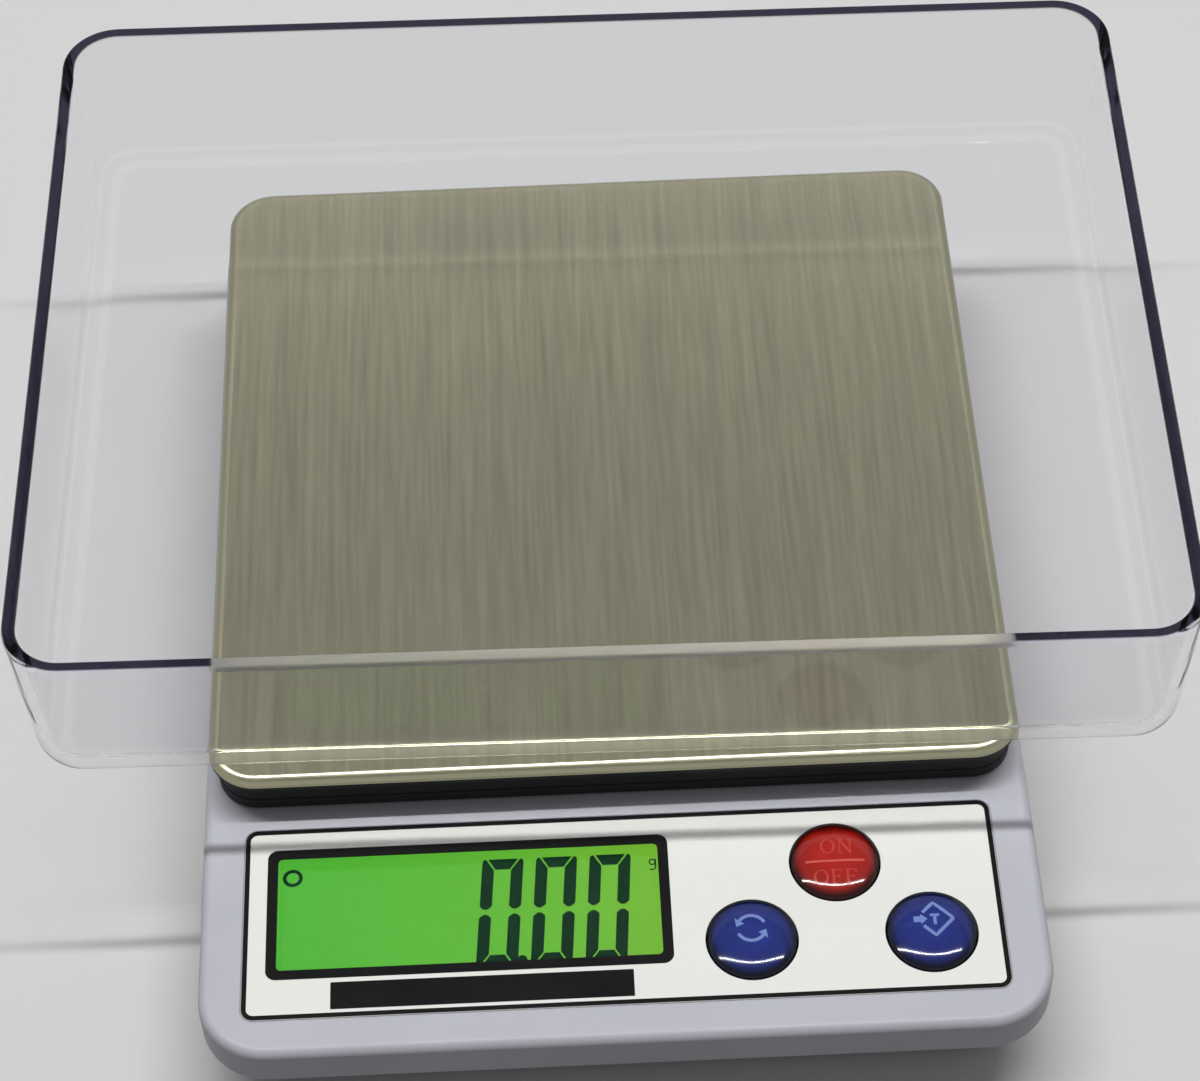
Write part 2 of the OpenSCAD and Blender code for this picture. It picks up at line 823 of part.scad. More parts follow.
// Black plastic support: top, skirt, crossing ribs, hub and four stop pads
module platform_support() {
  stop_under = stop_top + stop_gap;
  inner_s = support_s - 2 * support_wall;
  support_r = platform_r - plate_t - seat_gap;
  color(black_plastic)
    translate([0, platform_y, 0])
      difference() {
        union() {
          difference() {
            translate([0, 0, support_z])
              round_slab(support_s, support_s, support_top - support_z, support_r);
            translate([0, 0, support_z - cut])
              round_slab(inner_s, inner_s, support_under - support_z + cut, support_r - support_wall);
          }
          for (k = [-1, 0, 1]) {
            translate([k * stop_x - rib_t / 2, -support_s / 2 + 1, rib_under])
              cube([rib_t, support_s - 2, support_under - rib_under + cut]);
            translate([-support_s / 2 + 1, k * stop_x - rib_t / 2, rib_under])
              cube([support_s - 2, rib_t, support_under - rib_under + cut]);
          }
          translate([pad_x - hub_l / 2, -beam_w / 2 - 2, hub_under])
            cube([hub_l, beam_w + 4, support_under - hub_under + cut]);
          for (x = [-1, 1], y = [-1, 1])
            translate([x * stop_x, y * stop_x, stop_under])
              cylinder(h = support_under - stop_under + cut, d = stop_d + 1);
        }
        for (x = free_screws)
          translate([x, 0, 0]) {
            translate([0, 0, hub_under - cut])
              cylinder(h = support_top, d = beam_screw_d + 2 * seat_gap);
            translate([0, 0, support_top - beam_head_h - 0.2])
              cylinder(h = support_top, d = beam_head_d + 2 * seat_gap);
          }
        translate([pad_x - pad_l / 2 - seat_gap, -beam_w / 2 - seat_gap, rib_under - 1])
          cube([pad_l + 2 * seat_gap, beam_w + 2 * seat_gap, hub_under - rib_under + 1]);
      }
}

module platform_screws() {
  z = support_top - beam_head_h - 0.2;
  color(zinc)
    for (x = free_screws)
      translate([x, platform_y, z])
        mirror([0, 0, 1])
          pan_screw(beam_head_d, beam_head_h, beam_screw_d, z - beam_z - 1.5);
}

// Stainless plate with a turned-down edge
module platform_plate() {
  color(steel)
    translate([0, platform_y, platform_z - plate_skirt])
      difference() {
        bevel_slab(platform_s, platform_s, plate_skirt, platform_r, plate_bevel);
        translate([0, 0, -cut])
          round_slab(
            platform_s - 2 * plate_t,
            platform_s - 2 * plate_t,
            plate_skirt - plate_t + cut,
            platform_r - plate_t
          );
      }
}

// Clear tray: leaning walls, a bevel at the foot of each wall and a flat floor
module weighing_tray() {
  low_w = tray_w - 2 * tray_draft;
  low_l = tray_l - 2 * tray_draft;
  low_r = tray_r - tray_draft;
  color(clear)
    translate([0, tray_y, platform_z])
      rotate([0, 0, tray_turn])
        difference() {
          union() {
            translate([0, 0, tray_bevel])
              lean_slab(tray_w, tray_l, tray_h - tray_bevel, tray_r, tray_draft);
            lean_slab(low_w, low_l, tray_bevel, low_r, tray_bevel_in);
          }
          translate([0, 0, tray_bevel + tray_floor])
            lean_slab(
              tray_w - 2 * tray_wall,
              tray_l - 2 * tray_wall,
              tray_h - tray_bevel - tray_floor + cut,
              tray_r - tray_wall,
              tray_draft
            );
          translate([0, 0, tray_floor])
            lean_slab(
              low_w - 2 * tray_wall,
              low_l - 2 * tray_wall,
              tray_bevel,
              low_r - tray_wall,
              tray_bevel_in
            );
        }
}

// Door that slides out at the back in grooves, with grip ridges below
module battery_door() {
  ridge_w = 18;
  color(plastic)
    difference() {
      intersection() {
        translate([0, body_mid, foot_h]) tub(0);
        union() {
          translate([-door_hw, door_y0, foot_h]) cube([2 * door_hw, body_l, door_t]);
          translate([-door_hw - door_tongue, door_y0, door_top - tongue_t])
            cube([2 * (door_hw + door_tongue), body_l, tongue_t]);
        }
      }
      for (k = [0:3])
        translate([-ridge_w / 2, door_y0 + 18 + 2 * k, foot_h - cut])
          cube([ridge_w, 1, 0.5 + cut]);
    }
}

// Battery cell along X with its nub toward side (1 or -1)
module battery_cell(i, side) {
  color([0.12, 0.14, 0.20])
    translate([0, cells_y[i], cell_z])
      rotate([0, side * 90, 0])
        translate([0, 0, -(cell_l + nub_h) / 2]) {
          cylinder(h = cell_l, d = cell_d);
          cylinder(h = cell_l + nub_h, d = 3.8);
        }
}

module battery_cell_front() {
  battery_cell(0, 1);
}

module battery_cell_rear() {
  battery_cell(1, -1);
}

// Leaf contact at cell i on side s: a plate on the bay's wall and a bent leaf that reaches the cell
module leaf(i, s) {
  reach = bay_hw - contact_t - (cell_l + nub_h) / 2 - seat_gap;
  translate([s * bay_hw, cells_y[i], cell_z])
    mirror([s > 0 ? 1 : 0, 0, 0]) {
      translate([0, -leaf_s / 2, -leaf_s / 2]) cube([contact_t, leaf_s, leaf_s]);
      rotate([90, 0, 0])
        translate([0, 0, -leaf_w / 2])
          linear_extrude(leaf_w)
            polygon([
              [contact_t, leaf_s / 2 - 0.5],
              [reach + contact_t, leaf_tip],
              [reach + contact_t, -leaf_tip],
              [contact_t, leaf_s / 2 - 1.3]
            ]);
    }
}

module battery_link() {
  color(zinc) {
    leaf(0, 1);
    leaf(1, 1);
    translate([bay_hw - contact_t, cells_y[0], cell_z - link_drop])
      cube([contact_t, cell_pitch, link_h]);
  }
}

module battery_terminals() {
  color(zinc)
    for (i = [0, 1])
      leaf(i, -1);
}

// Two wires from the bay's left wall to the board's rear edge
module battery_leads() {
  x0 = -bay_hw - bay_wall;
  y1 = board_back - lead_back;
  z = board_z + wire_d / 2 + 0.05;
  color("crimson")
    for (i = [0, 1])
      bent_wire([x0, cells_y[i]], [wires_x - 1.6 * i, y1], z, wire_d, wire_bend);
}

upper_case();
lower_case();
rubber_feet();
case_screws();
panel_label();
lcd_window();
lcd_glass();
lcd_backlight();
backlight_leds();
lcd_holder();
zebra_strip();
main_board();
board_chips();
board_screws();
lead_connector();
tact_switches();
power_plunger();
mode_plunger();
tare_plunger();
power_button();
mode_button();
tare_button();
load_cell();
gauge_seal();
gauge_leads();
beam_shim();
beam_screws();
top_spacer();
platform_support();
platform_screws();
platform_plate();
weighing_tray();
battery_door();
battery_cell_front();
battery_cell_rear();
battery_link();
battery_terminals();
battery_leads();
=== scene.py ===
"""Finished pieces, materials, light and camera for the packed model of a digital precision scale."""

import bmesh
import bpy
import numpy as np
from bpy.props import FloatProperty, FloatVectorProperty, PointerProperty
from bpy.types import Operator, Panel, PropertyGroup
from mathutils import Matrix, Vector
from mathutils.geometry import delaunay_2d_cdt


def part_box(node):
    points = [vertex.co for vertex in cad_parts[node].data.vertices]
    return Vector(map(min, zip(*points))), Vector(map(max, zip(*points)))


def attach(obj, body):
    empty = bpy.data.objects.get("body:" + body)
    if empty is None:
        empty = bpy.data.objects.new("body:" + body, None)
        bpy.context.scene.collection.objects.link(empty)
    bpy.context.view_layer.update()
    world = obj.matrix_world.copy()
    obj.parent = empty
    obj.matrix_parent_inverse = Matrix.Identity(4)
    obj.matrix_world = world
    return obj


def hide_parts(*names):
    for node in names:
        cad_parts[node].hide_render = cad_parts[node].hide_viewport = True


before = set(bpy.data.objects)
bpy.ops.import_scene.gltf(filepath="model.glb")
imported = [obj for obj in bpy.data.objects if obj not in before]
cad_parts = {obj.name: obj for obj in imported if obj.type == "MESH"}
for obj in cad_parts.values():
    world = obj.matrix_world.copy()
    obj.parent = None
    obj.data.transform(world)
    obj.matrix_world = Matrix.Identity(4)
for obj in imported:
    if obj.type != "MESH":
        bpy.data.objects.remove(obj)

bl_info = {
    "name": "Precision scale finishes",
    "version": (1, 0, 0),
    "blender": (4, 5, 0),
    "location": "3D View > Sidebar > Scale",
    "description": "Finished pieces and materials for a digital precision scale",
    "category": "Object",
}

MM = 0.001
FLAT_EDGE = 0.3 * MM
WELD = 0.001 * MM
PRINT = 0.03 * MM
TRAY_BEND = 1.12
WINDOW_BEND = 1.12
WHITE = (1.0, 1.0, 1.0, 1.0)
BASE = "base"
KEYS = ("power_button", "mode_button", "tare_button")


def length(name, description, default):
    """A size, given in millimetres and kept in metres."""
    return FloatProperty(
        name=name, description=description, default=default * MM, unit="LENGTH", precision=5
    )


def tint(name, description, default):
    """A colour."""
    return FloatVectorProperty(
        name=name, description=description, default=default, subtype="COLOR", size=3, min=0.0, max=1.0
    )


def node_box(*nodes):
    """Lowest and highest corner of the packed nodes together, in metres."""
    corners = [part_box(node) for node in nodes]
    lo = np.min([np.array(low) for low, high in corners], axis=0)
    hi = np.max([np.array(high) for low, high in corners], axis=0)
    return lo, hi


def middle_of(node):
    """Middle of a packed node seen from above, in metres."""
    lo, hi = node_box(node)
    return ((lo + hi) / 2)[:2]


CASE_LO, CASE_HI = node_box("upper_case")
LABEL_LO, LABEL_HI = node_box("panel_label")
WINDOW_LO, WINDOW_HI = node_box("lcd_window")
GLASS_LO, GLASS_HI = node_box("lcd_glass")
PLATE_LO, PLATE_HI = node_box("platform_plate")
TRAY_LO, TRAY_HI = node_box("weighing_tray")
DECK = float(LABEL_HI[2])
DECK_UNDER = float(node_box("lcd_holder")[1][2])


class CaseSizes(PropertyGroup):
    """Sizes and colour of the case."""

    corner: length("Corner radius", "Radius of the upright corners", 10)
    edge: length("Edge round", "Round between the top and the sides", 1.4)
    side: length("Side depth", "Depth of the upper shell's side", 6.7)
    wall: length("Wall", "Thickness of the shells' walls", 2)
    round_low: length("Lower edges", "Round on the edges of the lower shell", 0.35)
    colour: tint("Plastic", "Colour of the moulded case", (0.475, 0.48, 0.53))


class PanelSizes(PropertyGroup):
    """Sizes and colours of the printed label; places are measured from the label's middle."""

    corner: length("Label corner", "Corner radius of the label", 1.8)
    outline: length("Outline", "Width of the printed outline", 0.7)
    ring: length("Window ring", "Width of the printed ring round the window", 0.4)
    strip_x: length("Strip place", "Middle of the printed strip, sideways", -20.1)
    strip_y: length("Strip height", "Middle of the printed strip, along the panel", -12.17)
    strip_w: length("Strip width", "Width of the printed strip", 42.5)
    strip_l: length("Strip depth", "Depth of the printed strip", 4.3)
    colour: tint("Label", "Colour of the label", (0.83, 0.84, 0.80))
    ink: tint("Ink", "Colour of the printing", (0.006, 0.006, 0.007))


class DisplaySizes(PropertyGroup):
    """Sizes and colours of the display; places are measured from the window's middle."""

    border: length("Border", "Width of the window's printed border", 1.0)
    corner: length("Window corner", "Corner radius of the window", 1)
    digit_w: length("Digit width", "Outer width of a digit", 5.95)
    digit_h: length("Digit height", "Height of a digit", 19.35)
    pitch: length("Digit pitch", "Distance from one digit to the next", 7.75)
    first_x: length("First digit", "Middle of the left digit", 4.36)
    middle_y: length("Digits' middle", "Middle of the digits along the panel", 0.4)
    bar: length("Bar", "Thickness of a digit's bars", 2.6)
    upright: length("Upright", "Thickness of a digit's uprights", 1.75)
    slant: FloatProperty(name="Slant", description="Lean of the digits to the right", default=0.0725)
    circle_x: length("Circle place", "Middle of the zero mark, sideways", -25.39)
    circle_y: length("Circle height", "Middle of the zero mark, along the panel", 7.5)
    unit_x: length("Unit place", "Middle of the unit's letter, sideways", 26.5)
    unit_y: length("Unit height", "Middle of the unit's letter, along the panel", 7.3)
    green: tint("Lit left", "Colour of the lit display at its left", (0.078, 0.435, 0.038))
    green_right: tint("Lit right", "Colour of the lit display at its right", (0.18, 0.465, 0.036))
    digit: tint("Digits", "Colour of the digits", (0.002, 0.028, 0.010))


class KeySizes(PropertyGroup):
    """Sizes and colours of the three buttons."""

    edge: length("Edge round", "Round where the side meets the dome", 0.35)
    gap: length("Gap", "Gap between a button and its hole", 0.3)
    flange_w: length("Flange", "Width of the flange under the panel", 1.2)
    flange_t: length("Flange thickness", "Thickness of the flange", 1.3)
    stem: length("Stem", "Radius of the stem", 2)
    swell: FloatProperty(name="Swell", description="Power of the dome's profile, 2 is a ball", default=3.6)
    red: tint("Red", "Colour of the power button", (0.46, 0.016, 0.011))
    blue: tint("Blue", "Colour of the mode and tare buttons", (0.017, 0.032, 0.235))
    red_mark: tint("Line on red", "Colour of the line on the power button", (0.66, 0.12, 0.08))
    red_word: tint("Words on red", "Colour of the words on the power button", (0.52, 0.052, 0.036))
    blue_mark: tint("Mark on blue", "Colour of the marks on the blue buttons", (0.19, 0.28, 0.62))


class PlatformSizes(PropertyGroup):
    """Sizes and colour of the weighing platform."""

    corner: length("Corner radius", "Radius of the platform's corners", 7)
    edge: length("Edge round", "Round on the plate's edge", 1.4)
    reach: length("Edge reach", "How far the edge's round reaches inwards", 1.7)
    sheet: length("Sheet", "Thickness of the steel sheet", 0.8)
    # The plate's side below the steel that shows is black, a painted shade.
    show: length("Steel edge", "Height of the steel that shows on the plate's side", 1.15)
    # The trim's drop below the support is painted shade.
    painted_shade_drop: length("Trim drop", "Reach of the black trim under the plastic support", 0.75)
    colour: tint("Steel", "Colour of the brushed steel", (0.57, 0.555, 0.385))


class TraySizes(PropertyGroup):
    """Sizes and colours of the clear tray."""

    width: length("Width", "Width at the rim", 167)
    depth: length("Depth", "Depth at the rim, front to back", 127.8)
    corner: length("Corner radius", "Radius of the rim's corners", 8.5)
    draft: length("Draft", "Slope of each wall from floor to rim", 1.1)
    wall: length("Wall", "Thickness of the walls", 2)
    floor: length("Floor", "Thickness of the floor", 2)
    foot: length("Foot round", "Round between the floor and the walls", 5)
    rim: length("Rim round", "Round on both edges of the rim", 0.4)
    turn: FloatProperty(name="Turn", description="Turn of the loose tray", default=-0.01466, unit="ROTATION")
    colour: tint("Clear plastic", "Colour of the tray", (0.925, 0.925, 0.94))
    # Rim colours in painted light: dark is the painted shade of the clear rim, fringe a painted violet edge
    # at its front, and the colours over the steel a painted likeness of the steel seen through the rim.
    dark: tint("Rim", "Colour seen in the tray's rim", (0.003, 0.003, 0.008))
    fringe: tint("Fringe", "Colour at the front edge of the dark rim", (0.50, 0.45, 0.80))
    rim_over_steel_painted: tint("Rim over steel", "Colour of the rim in front of the steel, at the left", (0.16, 0.16, 0.23))
    rim_over_steel_painted_right: tint("Rim over steel, right", "The same at the right", (0.38, 0.37, 0.48))


# Shapes


def arc(centre, radius, start, end, steps):
    """Quarter or other arc as rows of (offset, height): centre + radius (cos a, sin a), a in degrees."""
    angle = np.radians(np.linspace(start, end, steps + 1))
    return np.stack([centre[0] + radius * np.cos(angle), centre[1] + radius * np.sin(angle)], axis=1)


def rounded_path(lo, hi, radius, steps=12):
    """Path round a rectangle with round corners, as corner centres, outward normals and the radius.

    A point at offset d is centre + normal * (radius + d). A column a little way along the straight
    on both sides of each quarter turn keeps the sides flat.
    """
    quarter = np.arange(4)[:, None]
    angle = (quarter + np.linspace(0.0, 1.0, steps + 1)) * (np.pi / 2)
    angle = np.concatenate([angle[:, :1], angle, angle[:, -1:]], axis=1)
    normal = np.stack([np.cos(angle), np.sin(angle)], axis=-1)
    along = np.stack([-np.sin(angle), np.cos(angle)], axis=-1)
    shift = np.zeros(steps + 3)
    shift[0], shift[-1] = -FLAT_EDGE, FLAT_EDGE
    left, right = lo[0] + radius, hi[0] - radius
    front, back = lo[1] + radius, hi[1] - radius
    corner = np.array([[right, back], [left, back], [left, front], [right, front]])
    centre = corner[:, None, :] + along * shift[None, :, None]
    return centre.reshape(-1, 2), normal.reshape(-1, 2), radius


def circle_path(middle, steps=64, radius=0.0):
    """Path round a point; without a radius, an offset is a distance from the point."""
    angle = np.arange(steps) * (2 * np.pi / steps)
    centre = np.repeat(np.array([middle[:2]], dtype=float), steps, axis=0)
    return centre, np.stack([np.cos(angle), np.sin(angle)], axis=1), radius


def turning(angle):
    """The matrix that turns rows of flat points by an angle."""
    return np.array([[np.cos(angle), np.sin(angle)], [-np.sin(angle), np.cos(angle)]])


def turned_path(path, turn, middle):
    """The path turned by an angle about a point."""
    centre, normal, radius = path
    return (centre - middle) @ turning(turn) + middle, normal @ turning(turn), radius


def loop_at(path, offset=0.0):
    """The closed loop at one offset from a path."""
    centre, normal, radius = path
    return centre + normal * (radius + offset)


def carry(profile, path):
    """A profile of (offset, height) carried along a path: rows follow the profile, columns the path."""
    centre, normal, radius = path
    offset, height = np.asarray(profile, dtype=float).T
    flat = centre[None] + normal[None] * (radius + offset)[:, None, None]
    level = np.broadcast_to(height[:, None, None], flat.shape[:2] + (1,))
    return np.concatenate([flat, level], axis=2)


def to_height(points, height):
    """Flat points with a height added."""
    points = np.asarray(points, dtype=float)
    level = np.broadcast_to(height, len(points))
    return np.concatenate([points, level[:, None]], axis=1)


class Shell:
    """Grids and flat fields, welded when built into closed meshes whose faces point outwards."""

    def __init__(self):
        self.points = []
        self.faces = []
        self.finish = []
        self.count = 0

    def add(self, points, faces, finish=0):
        """Adds points (n, 3) and faces that index them."""
        self.points.append(np.asarray(points, dtype=float).reshape(-1, 3))
        self.faces += (np.asarray(faces) + self.count).tolist()
        self.finish += [finish] * len(faces)
        self.count += len(self.points[-1])

    def grid(self, grid, finish=0, over=False):
        """Quads between a grid's points (rows, columns, 3), closed around, and over if asked."""
        rows, columns = grid.shape[:2]
        index = np.arange(rows * columns).reshape(rows, columns)
        index = np.concatenate([index, index[:, :1]], axis=1)
        if over:
            index = np.concatenate([index, index[:1]], axis=0)
        quads = np.stack([index[:-1, :-1], index[:-1, 1:], index[1:, 1:], index[1:, :-1]], axis=-1)
        self.add(grid, quads.reshape(-1, 4), finish)

    def cap(self, ring, finish=0):
        """One flat face on a closed ring of points."""
        self.add(ring, np.arange(len(ring))[None, :], finish)

    def solid(self, grid, finish=0):
        """A grid closed around, with a flat face on its first and on its last row."""
        self.grid(grid, finish)
        self.cap(grid[0], finish)
        self.cap(grid[-1], finish)

    def ring(self, path, inner, outer, low, high):
        """A band round a path, between two offsets and two heights."""
        self.grid(carry([(outer, low), (outer, high), (inner, high), (inner, low)], path), over=True)

    def field(self, loops, height, finish=0):
        """Flat face inside the first loop and outside the others, which are convex, in triangles."""
        points = np.concatenate(loops)
        sizes = np.array([len(loop) for loop in loops])
        starts = np.cumsum(sizes) - sizes
        owner = np.repeat(np.arange(len(loops)), sizes)
        index = np.arange(len(points))
        follow = (index - starts[owner] + 1) % sizes[owner] + starts[owner]
        edges = np.stack([index, follow], axis=1)
        made = delaunay_2d_cdt((points / MM).tolist(), edges.tolist(), [], 1, 1e-7)
        faces = np.array(made[2])
        owners = owner[faces]
        inside_hole = (owners[:, 0] == owners[:, 1]) & (owners[:, 1] == owners[:, 2]) & (owners[:, 0] > 0)
        self.add(to_height(points, height), faces[~inside_hole], finish)

    def slab(self, outline, low, high, finish=0):
        """Flat outline raised into a slab between two heights, which may be arrays along the outline."""
        bottom, top = to_height(outline, low), to_height(outline, high)
        self.grid(np.stack([bottom, top]), finish)
        self.cap(top, finish)
        self.cap(bottom, finish)

    def ribbon(self, path, width, surface, finish=0, closed=False):
        """Thin raised stroke: a rectangle carried along a flat path, on the height that surface gives."""
        path = np.asarray(path, dtype=float)
        if closed:
            ahead, behind = np.roll(path, -1, axis=0), np.roll(path, 1, axis=0)
        else:
            ahead = np.concatenate([path[1:], path[-1:]])
            behind = np.concatenate([path[:1], path[:-1]])
        along = ahead - behind
        along /= np.linalg.norm(along, axis=1, keepdims=True)
        side = np.stack([-along[:, 1], along[:, 0]], axis=1) * (np.asarray(width) / 2).reshape(-1, 1)
        left, right = path + side, path - side
        corners = ((left, PRINT), (right, PRINT), (right, -PRINT), (left, -PRINT))
        grid = np.stack([to_height(flat, surface(flat) + lift) for flat, lift in corners], axis=1)
        if closed:
            self.grid(grid, finish, over=True)
        else:
            self.solid(grid, finish)

    def build(self, name, finishes, body, replaced=(), crease=40.0, matrix=None):
        """The welded mesh as an object that rides on a body."""
        mesh = bpy.data.meshes.new(name)
        mesh.from_pydata(np.concatenate(self.points), [], self.faces)
        mesh.polygons.foreach_set("material_index", np.array(self.finish, dtype=np.int32))
        return finish_mesh(mesh, name, finishes, body, replaced, crease, matrix)


def finish_mesh(mesh, name, finishes, body, replaced=(), crease=40.0, matrix=None):
    """Welds a mesh, turns its faces outwards, shades it and hangs it on its body."""
    work = bmesh.new()
    work.from_mesh(mesh)
    bmesh.ops.remove_doubles(work, verts=work.verts, dist=WELD)
    if matrix is not None:
        bmesh.ops.transform(work, matrix=matrix, verts=work.verts)
    bmesh.ops.recalc_face_normals(work, faces=work.faces)
    open_edges = sum(1 for edge in work.edges if len(edge.link_faces) != 2)
    if open_edges:
        raise RuntimeError(f"{name}: {open_edges} edges without two faces")
    work.to_mesh(mesh)
    work.free()
    mesh.shade_smooth()
    mesh.set_sharp_from_angle(angle=np.radians(crease))
    piece = bpy.data.objects.new(name, mesh)
    bpy.context.scene.collection.objects.link(piece)
    for finish in finishes:
        mesh.materials.append(finish_of(finish))
    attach(piece, body)
    if replaced:
        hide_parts(*replaced)
    return piece


def paint(piece, name, function):
    """Stores a value at each point of a mesh: function takes the points (n, 3)."""
    mesh = piece.data
    points = np.empty(len(mesh.vertices) * 3, dtype=np.float32)
    mesh.vertices.foreach_get("co", points)
    layer = mesh.attributes.new(name, "FLOAT", "POINT")
    layer.data.foreach_set("value", np.asarray(function(points.reshape(-1, 3)), dtype=np.float32))


# Materials


def group_tree(name, inputs, outputs):
    """A shader group with its sockets, and its input and output nodes."""
    tree = bpy.data.node_groups.new(name, "ShaderNodeTree")
    for kind, label, default in inputs:
        socket = tree.interface.new_socket(name=label, in_out="INPUT", socket_type="NodeSocket" + kind)
        socket.default_value = default
    for kind, label in outputs:
        tree.interface.new_socket(name=label, in_out="OUTPUT", socket_type="NodeSocket" + kind)
    return tree, tree.nodes.new("NodeGroupInput"), tree.nodes.new("NodeGroupOutput")


def put(tree, kind, fields=None, **sockets):
    """A node with its own fields set, and its sockets set or linked by name."""
    node = tree.nodes.new("ShaderNode" + kind)
    for key, value in (fields or {}).items():
        setattr(node, key, value)
    for key, value in sockets.items():
        join(tree, value, socket_of(node, key.replace("_", " ")))
    return node


def socket_of(node, label):
    """The enabled input socket of that name."""
    for socket in node.inputs:
        if socket.name == label and socket.enabled:
            return socket
    raise KeyError(f"{node.bl_idname} has no input {label}")


def join(tree, value, socket):
    """Links an output to a socket, or sets the socket's own value."""
    if isinstance(value, bpy.types.NodeSocket):
        tree.links.new(value, socket)
    else:
        socket.default_value = value


def maths(tree, operation, *values):
    """A maths node's output; the values are numbers or outputs."""
    node = tree.nodes.new("ShaderNodeMath")
    node.operation = operation
    for value, socket in zip(values, node.inputs):
        join(tree, value, socket)
    return node.outputs[0]


def blend(tree, factor, first, second, kind="MIX"):
    """A colour mix's output."""
    node = tree.nodes.new("ShaderNodeMix")
    node.data_type = "RGBA"
    node.blend_type = kind
    colours = [socket for socket in node.inputs if socket.type == "RGBA"]
    join(tree, factor, node.inputs[0])
    join(tree, first, colours[0])
    join(tree, second, colours[1])
    return [socket for socket in node.outputs if socket.type == "RGBA"][0]


def spread(tree, value, low, high, to_low=0.0, to_high=1.0):
    """A value mapped from one span to another, and clamped."""
    node = tree.nodes.new("ShaderNodeMapRange")
    for number, socket in zip((value, low, high, to_low, to_high), node.inputs):
        join(tree, number, socket)
    return node.outputs[0]


def place_of(tree, size=None):
    """Object coordinates, times a size if there is one, which is a vector or an output."""
    place = tree.nodes.new("ShaderNodeTexCoord").outputs["Object"]
    if size is None:
        return place
    node = tree.nodes.new("ShaderNodeVectorMath")
    node.operation = "MULTIPLY"
    join(tree, place, node.inputs[0])
    join(tree, size, node.inputs[1])
    return node.outputs[0]


def axes_of(tree):
    """The object coordinates one by one, as outputs X, Y and Z in metres."""
    return put(tree, "SeparateXYZ", Vector=place_of(tree)).outputs


def mottle_group():
    """Slow variation between two colours."""
    tree, given, out = group_tree(
        "Mottle",
        [("Color", "First", (1, 1, 1, 1)), ("Color", "Second", (1, 1, 1, 1)), ("Float", "Scale", 40.0)],
        [("Color", "Color")],
    )
    noise = put(tree, "TexNoise", Vector=place_of(tree), Scale=given.outputs["Scale"], Detail=4.0)
    amount = spread(tree, noise.outputs[0], 0.3, 0.7)
    colour = blend(tree, amount, given.outputs["First"], given.outputs["Second"])
    tree.links.new(colour, out.inputs["Color"])
    return tree


def grain_group():
    """Fine texture of a moulded or cast surface, and a roughness that wanders slowly between two values."""
    tree, given, out = group_tree(
        "Fine grain",
        [("Float", "Scale", 2500.0), ("Float", "Low", 0.4), ("Float", "High", 0.5)],
        [("Float", "Height"), ("Float", "Roughness")],
    )
    place = place_of(tree)
    fine = put(tree, "TexNoise", Vector=place, Scale=given.outputs["Scale"], Detail=2.0, Roughness=0.6)
    slow = put(tree, "TexNoise", Vector=place, Scale=55.0, Detail=3.0)
    rough = spread(tree, slow.outputs[0], 0.3, 0.7, given.outputs["Low"], given.outputs["High"])
    tree.links.new(fine.outputs[0], out.inputs["Height"])
    tree.links.new(rough, out.inputs["Roughness"])
    return tree


def brushed_group():
    """Streaks along one axis: fine ones and broad ones, as a tone from 0 to 1 and a height."""
    tree, given, out = group_tree(
        "Brushed streaks",
        [("Vector", "Fine", (3000.0, 90.0, 3000.0)), ("Vector", "Broad", (700.0, 26.0, 700.0))],
        [("Float", "Tone"), ("Float", "Height")],
    )
    fine = put(tree, "TexNoise", Vector=place_of(tree, given.outputs["Fine"]), Scale=1.0, Detail=1.0)
    broad = put(tree, "TexNoise", Vector=place_of(tree, given.outputs["Broad"]), Scale=1.0, Detail=1.5)
    fine_part = maths(tree, "MULTIPLY", fine.outputs[0], 0.68)
    tone = maths(tree, "ADD", fine_part, maths(tree, "MULTIPLY", broad.outputs[0], 0.32))
    tree.links.new(spread(tree, tone, 0.30, 0.70), out.inputs["Tone"])
    tree.links.new(fine.outputs[0], out.inputs["Height"])
    return tree


def dust_group():
    """A little settled dust on faces that look up, over a colour."""
    tree, given, out = group_tree(
        "Settled dust",
        [
            ("Color", "Color", (1, 1, 1, 1)), ("Color", "Dust", (0.5, 0.48, 0.45, 1)),
            ("Float", "Amount", 0.1),
        ],
        [("Color", "Color"), ("Float", "Mask")],
    )
    normal = tree.nodes.new("ShaderNodeNewGeometry").outputs["Normal"]
    split = put(tree, "SeparateXYZ", Vector=normal)
    up = spread(tree, split.outputs["Z"], 0.4, 1.0)
    noise = put(tree, "TexNoise", Vector=place_of(tree), Scale=420.0, Detail=5.0, Roughness=0.7)
    specks = spread(tree, noise.outputs[0], 0.45, 0.75)
    mask = maths(tree, "MULTIPLY", maths(tree, "MULTIPLY", up, specks), given.outputs["Amount"])
    colour = blend(tree, mask, given.outputs["Color"], given.outputs["Dust"])
    tree.links.new(colour, out.inputs["Color"])
    tree.links.new(mask, out.inputs["Mask"])
    return tree


GROUP_MAKERS = {
    "Mottle": mottle_group,
    "Fine grain": grain_group,
    "Brushed streaks": brushed_group,
    "Settled dust": dust_group,
}
made_groups = {}
made_finishes = {}


def use_group(tree, name, **sockets):
    """A shared group placed in a material with its own values."""
    if name not in made_groups:
        made_groups[name] = GROUP_MAKERS[name]()
    node = tree.nodes.new("ShaderNodeGroup")
    node.node_tree = made_groups[name]
    for key, value in sockets.items():
        join(tree, value, node.inputs[key])
    return node


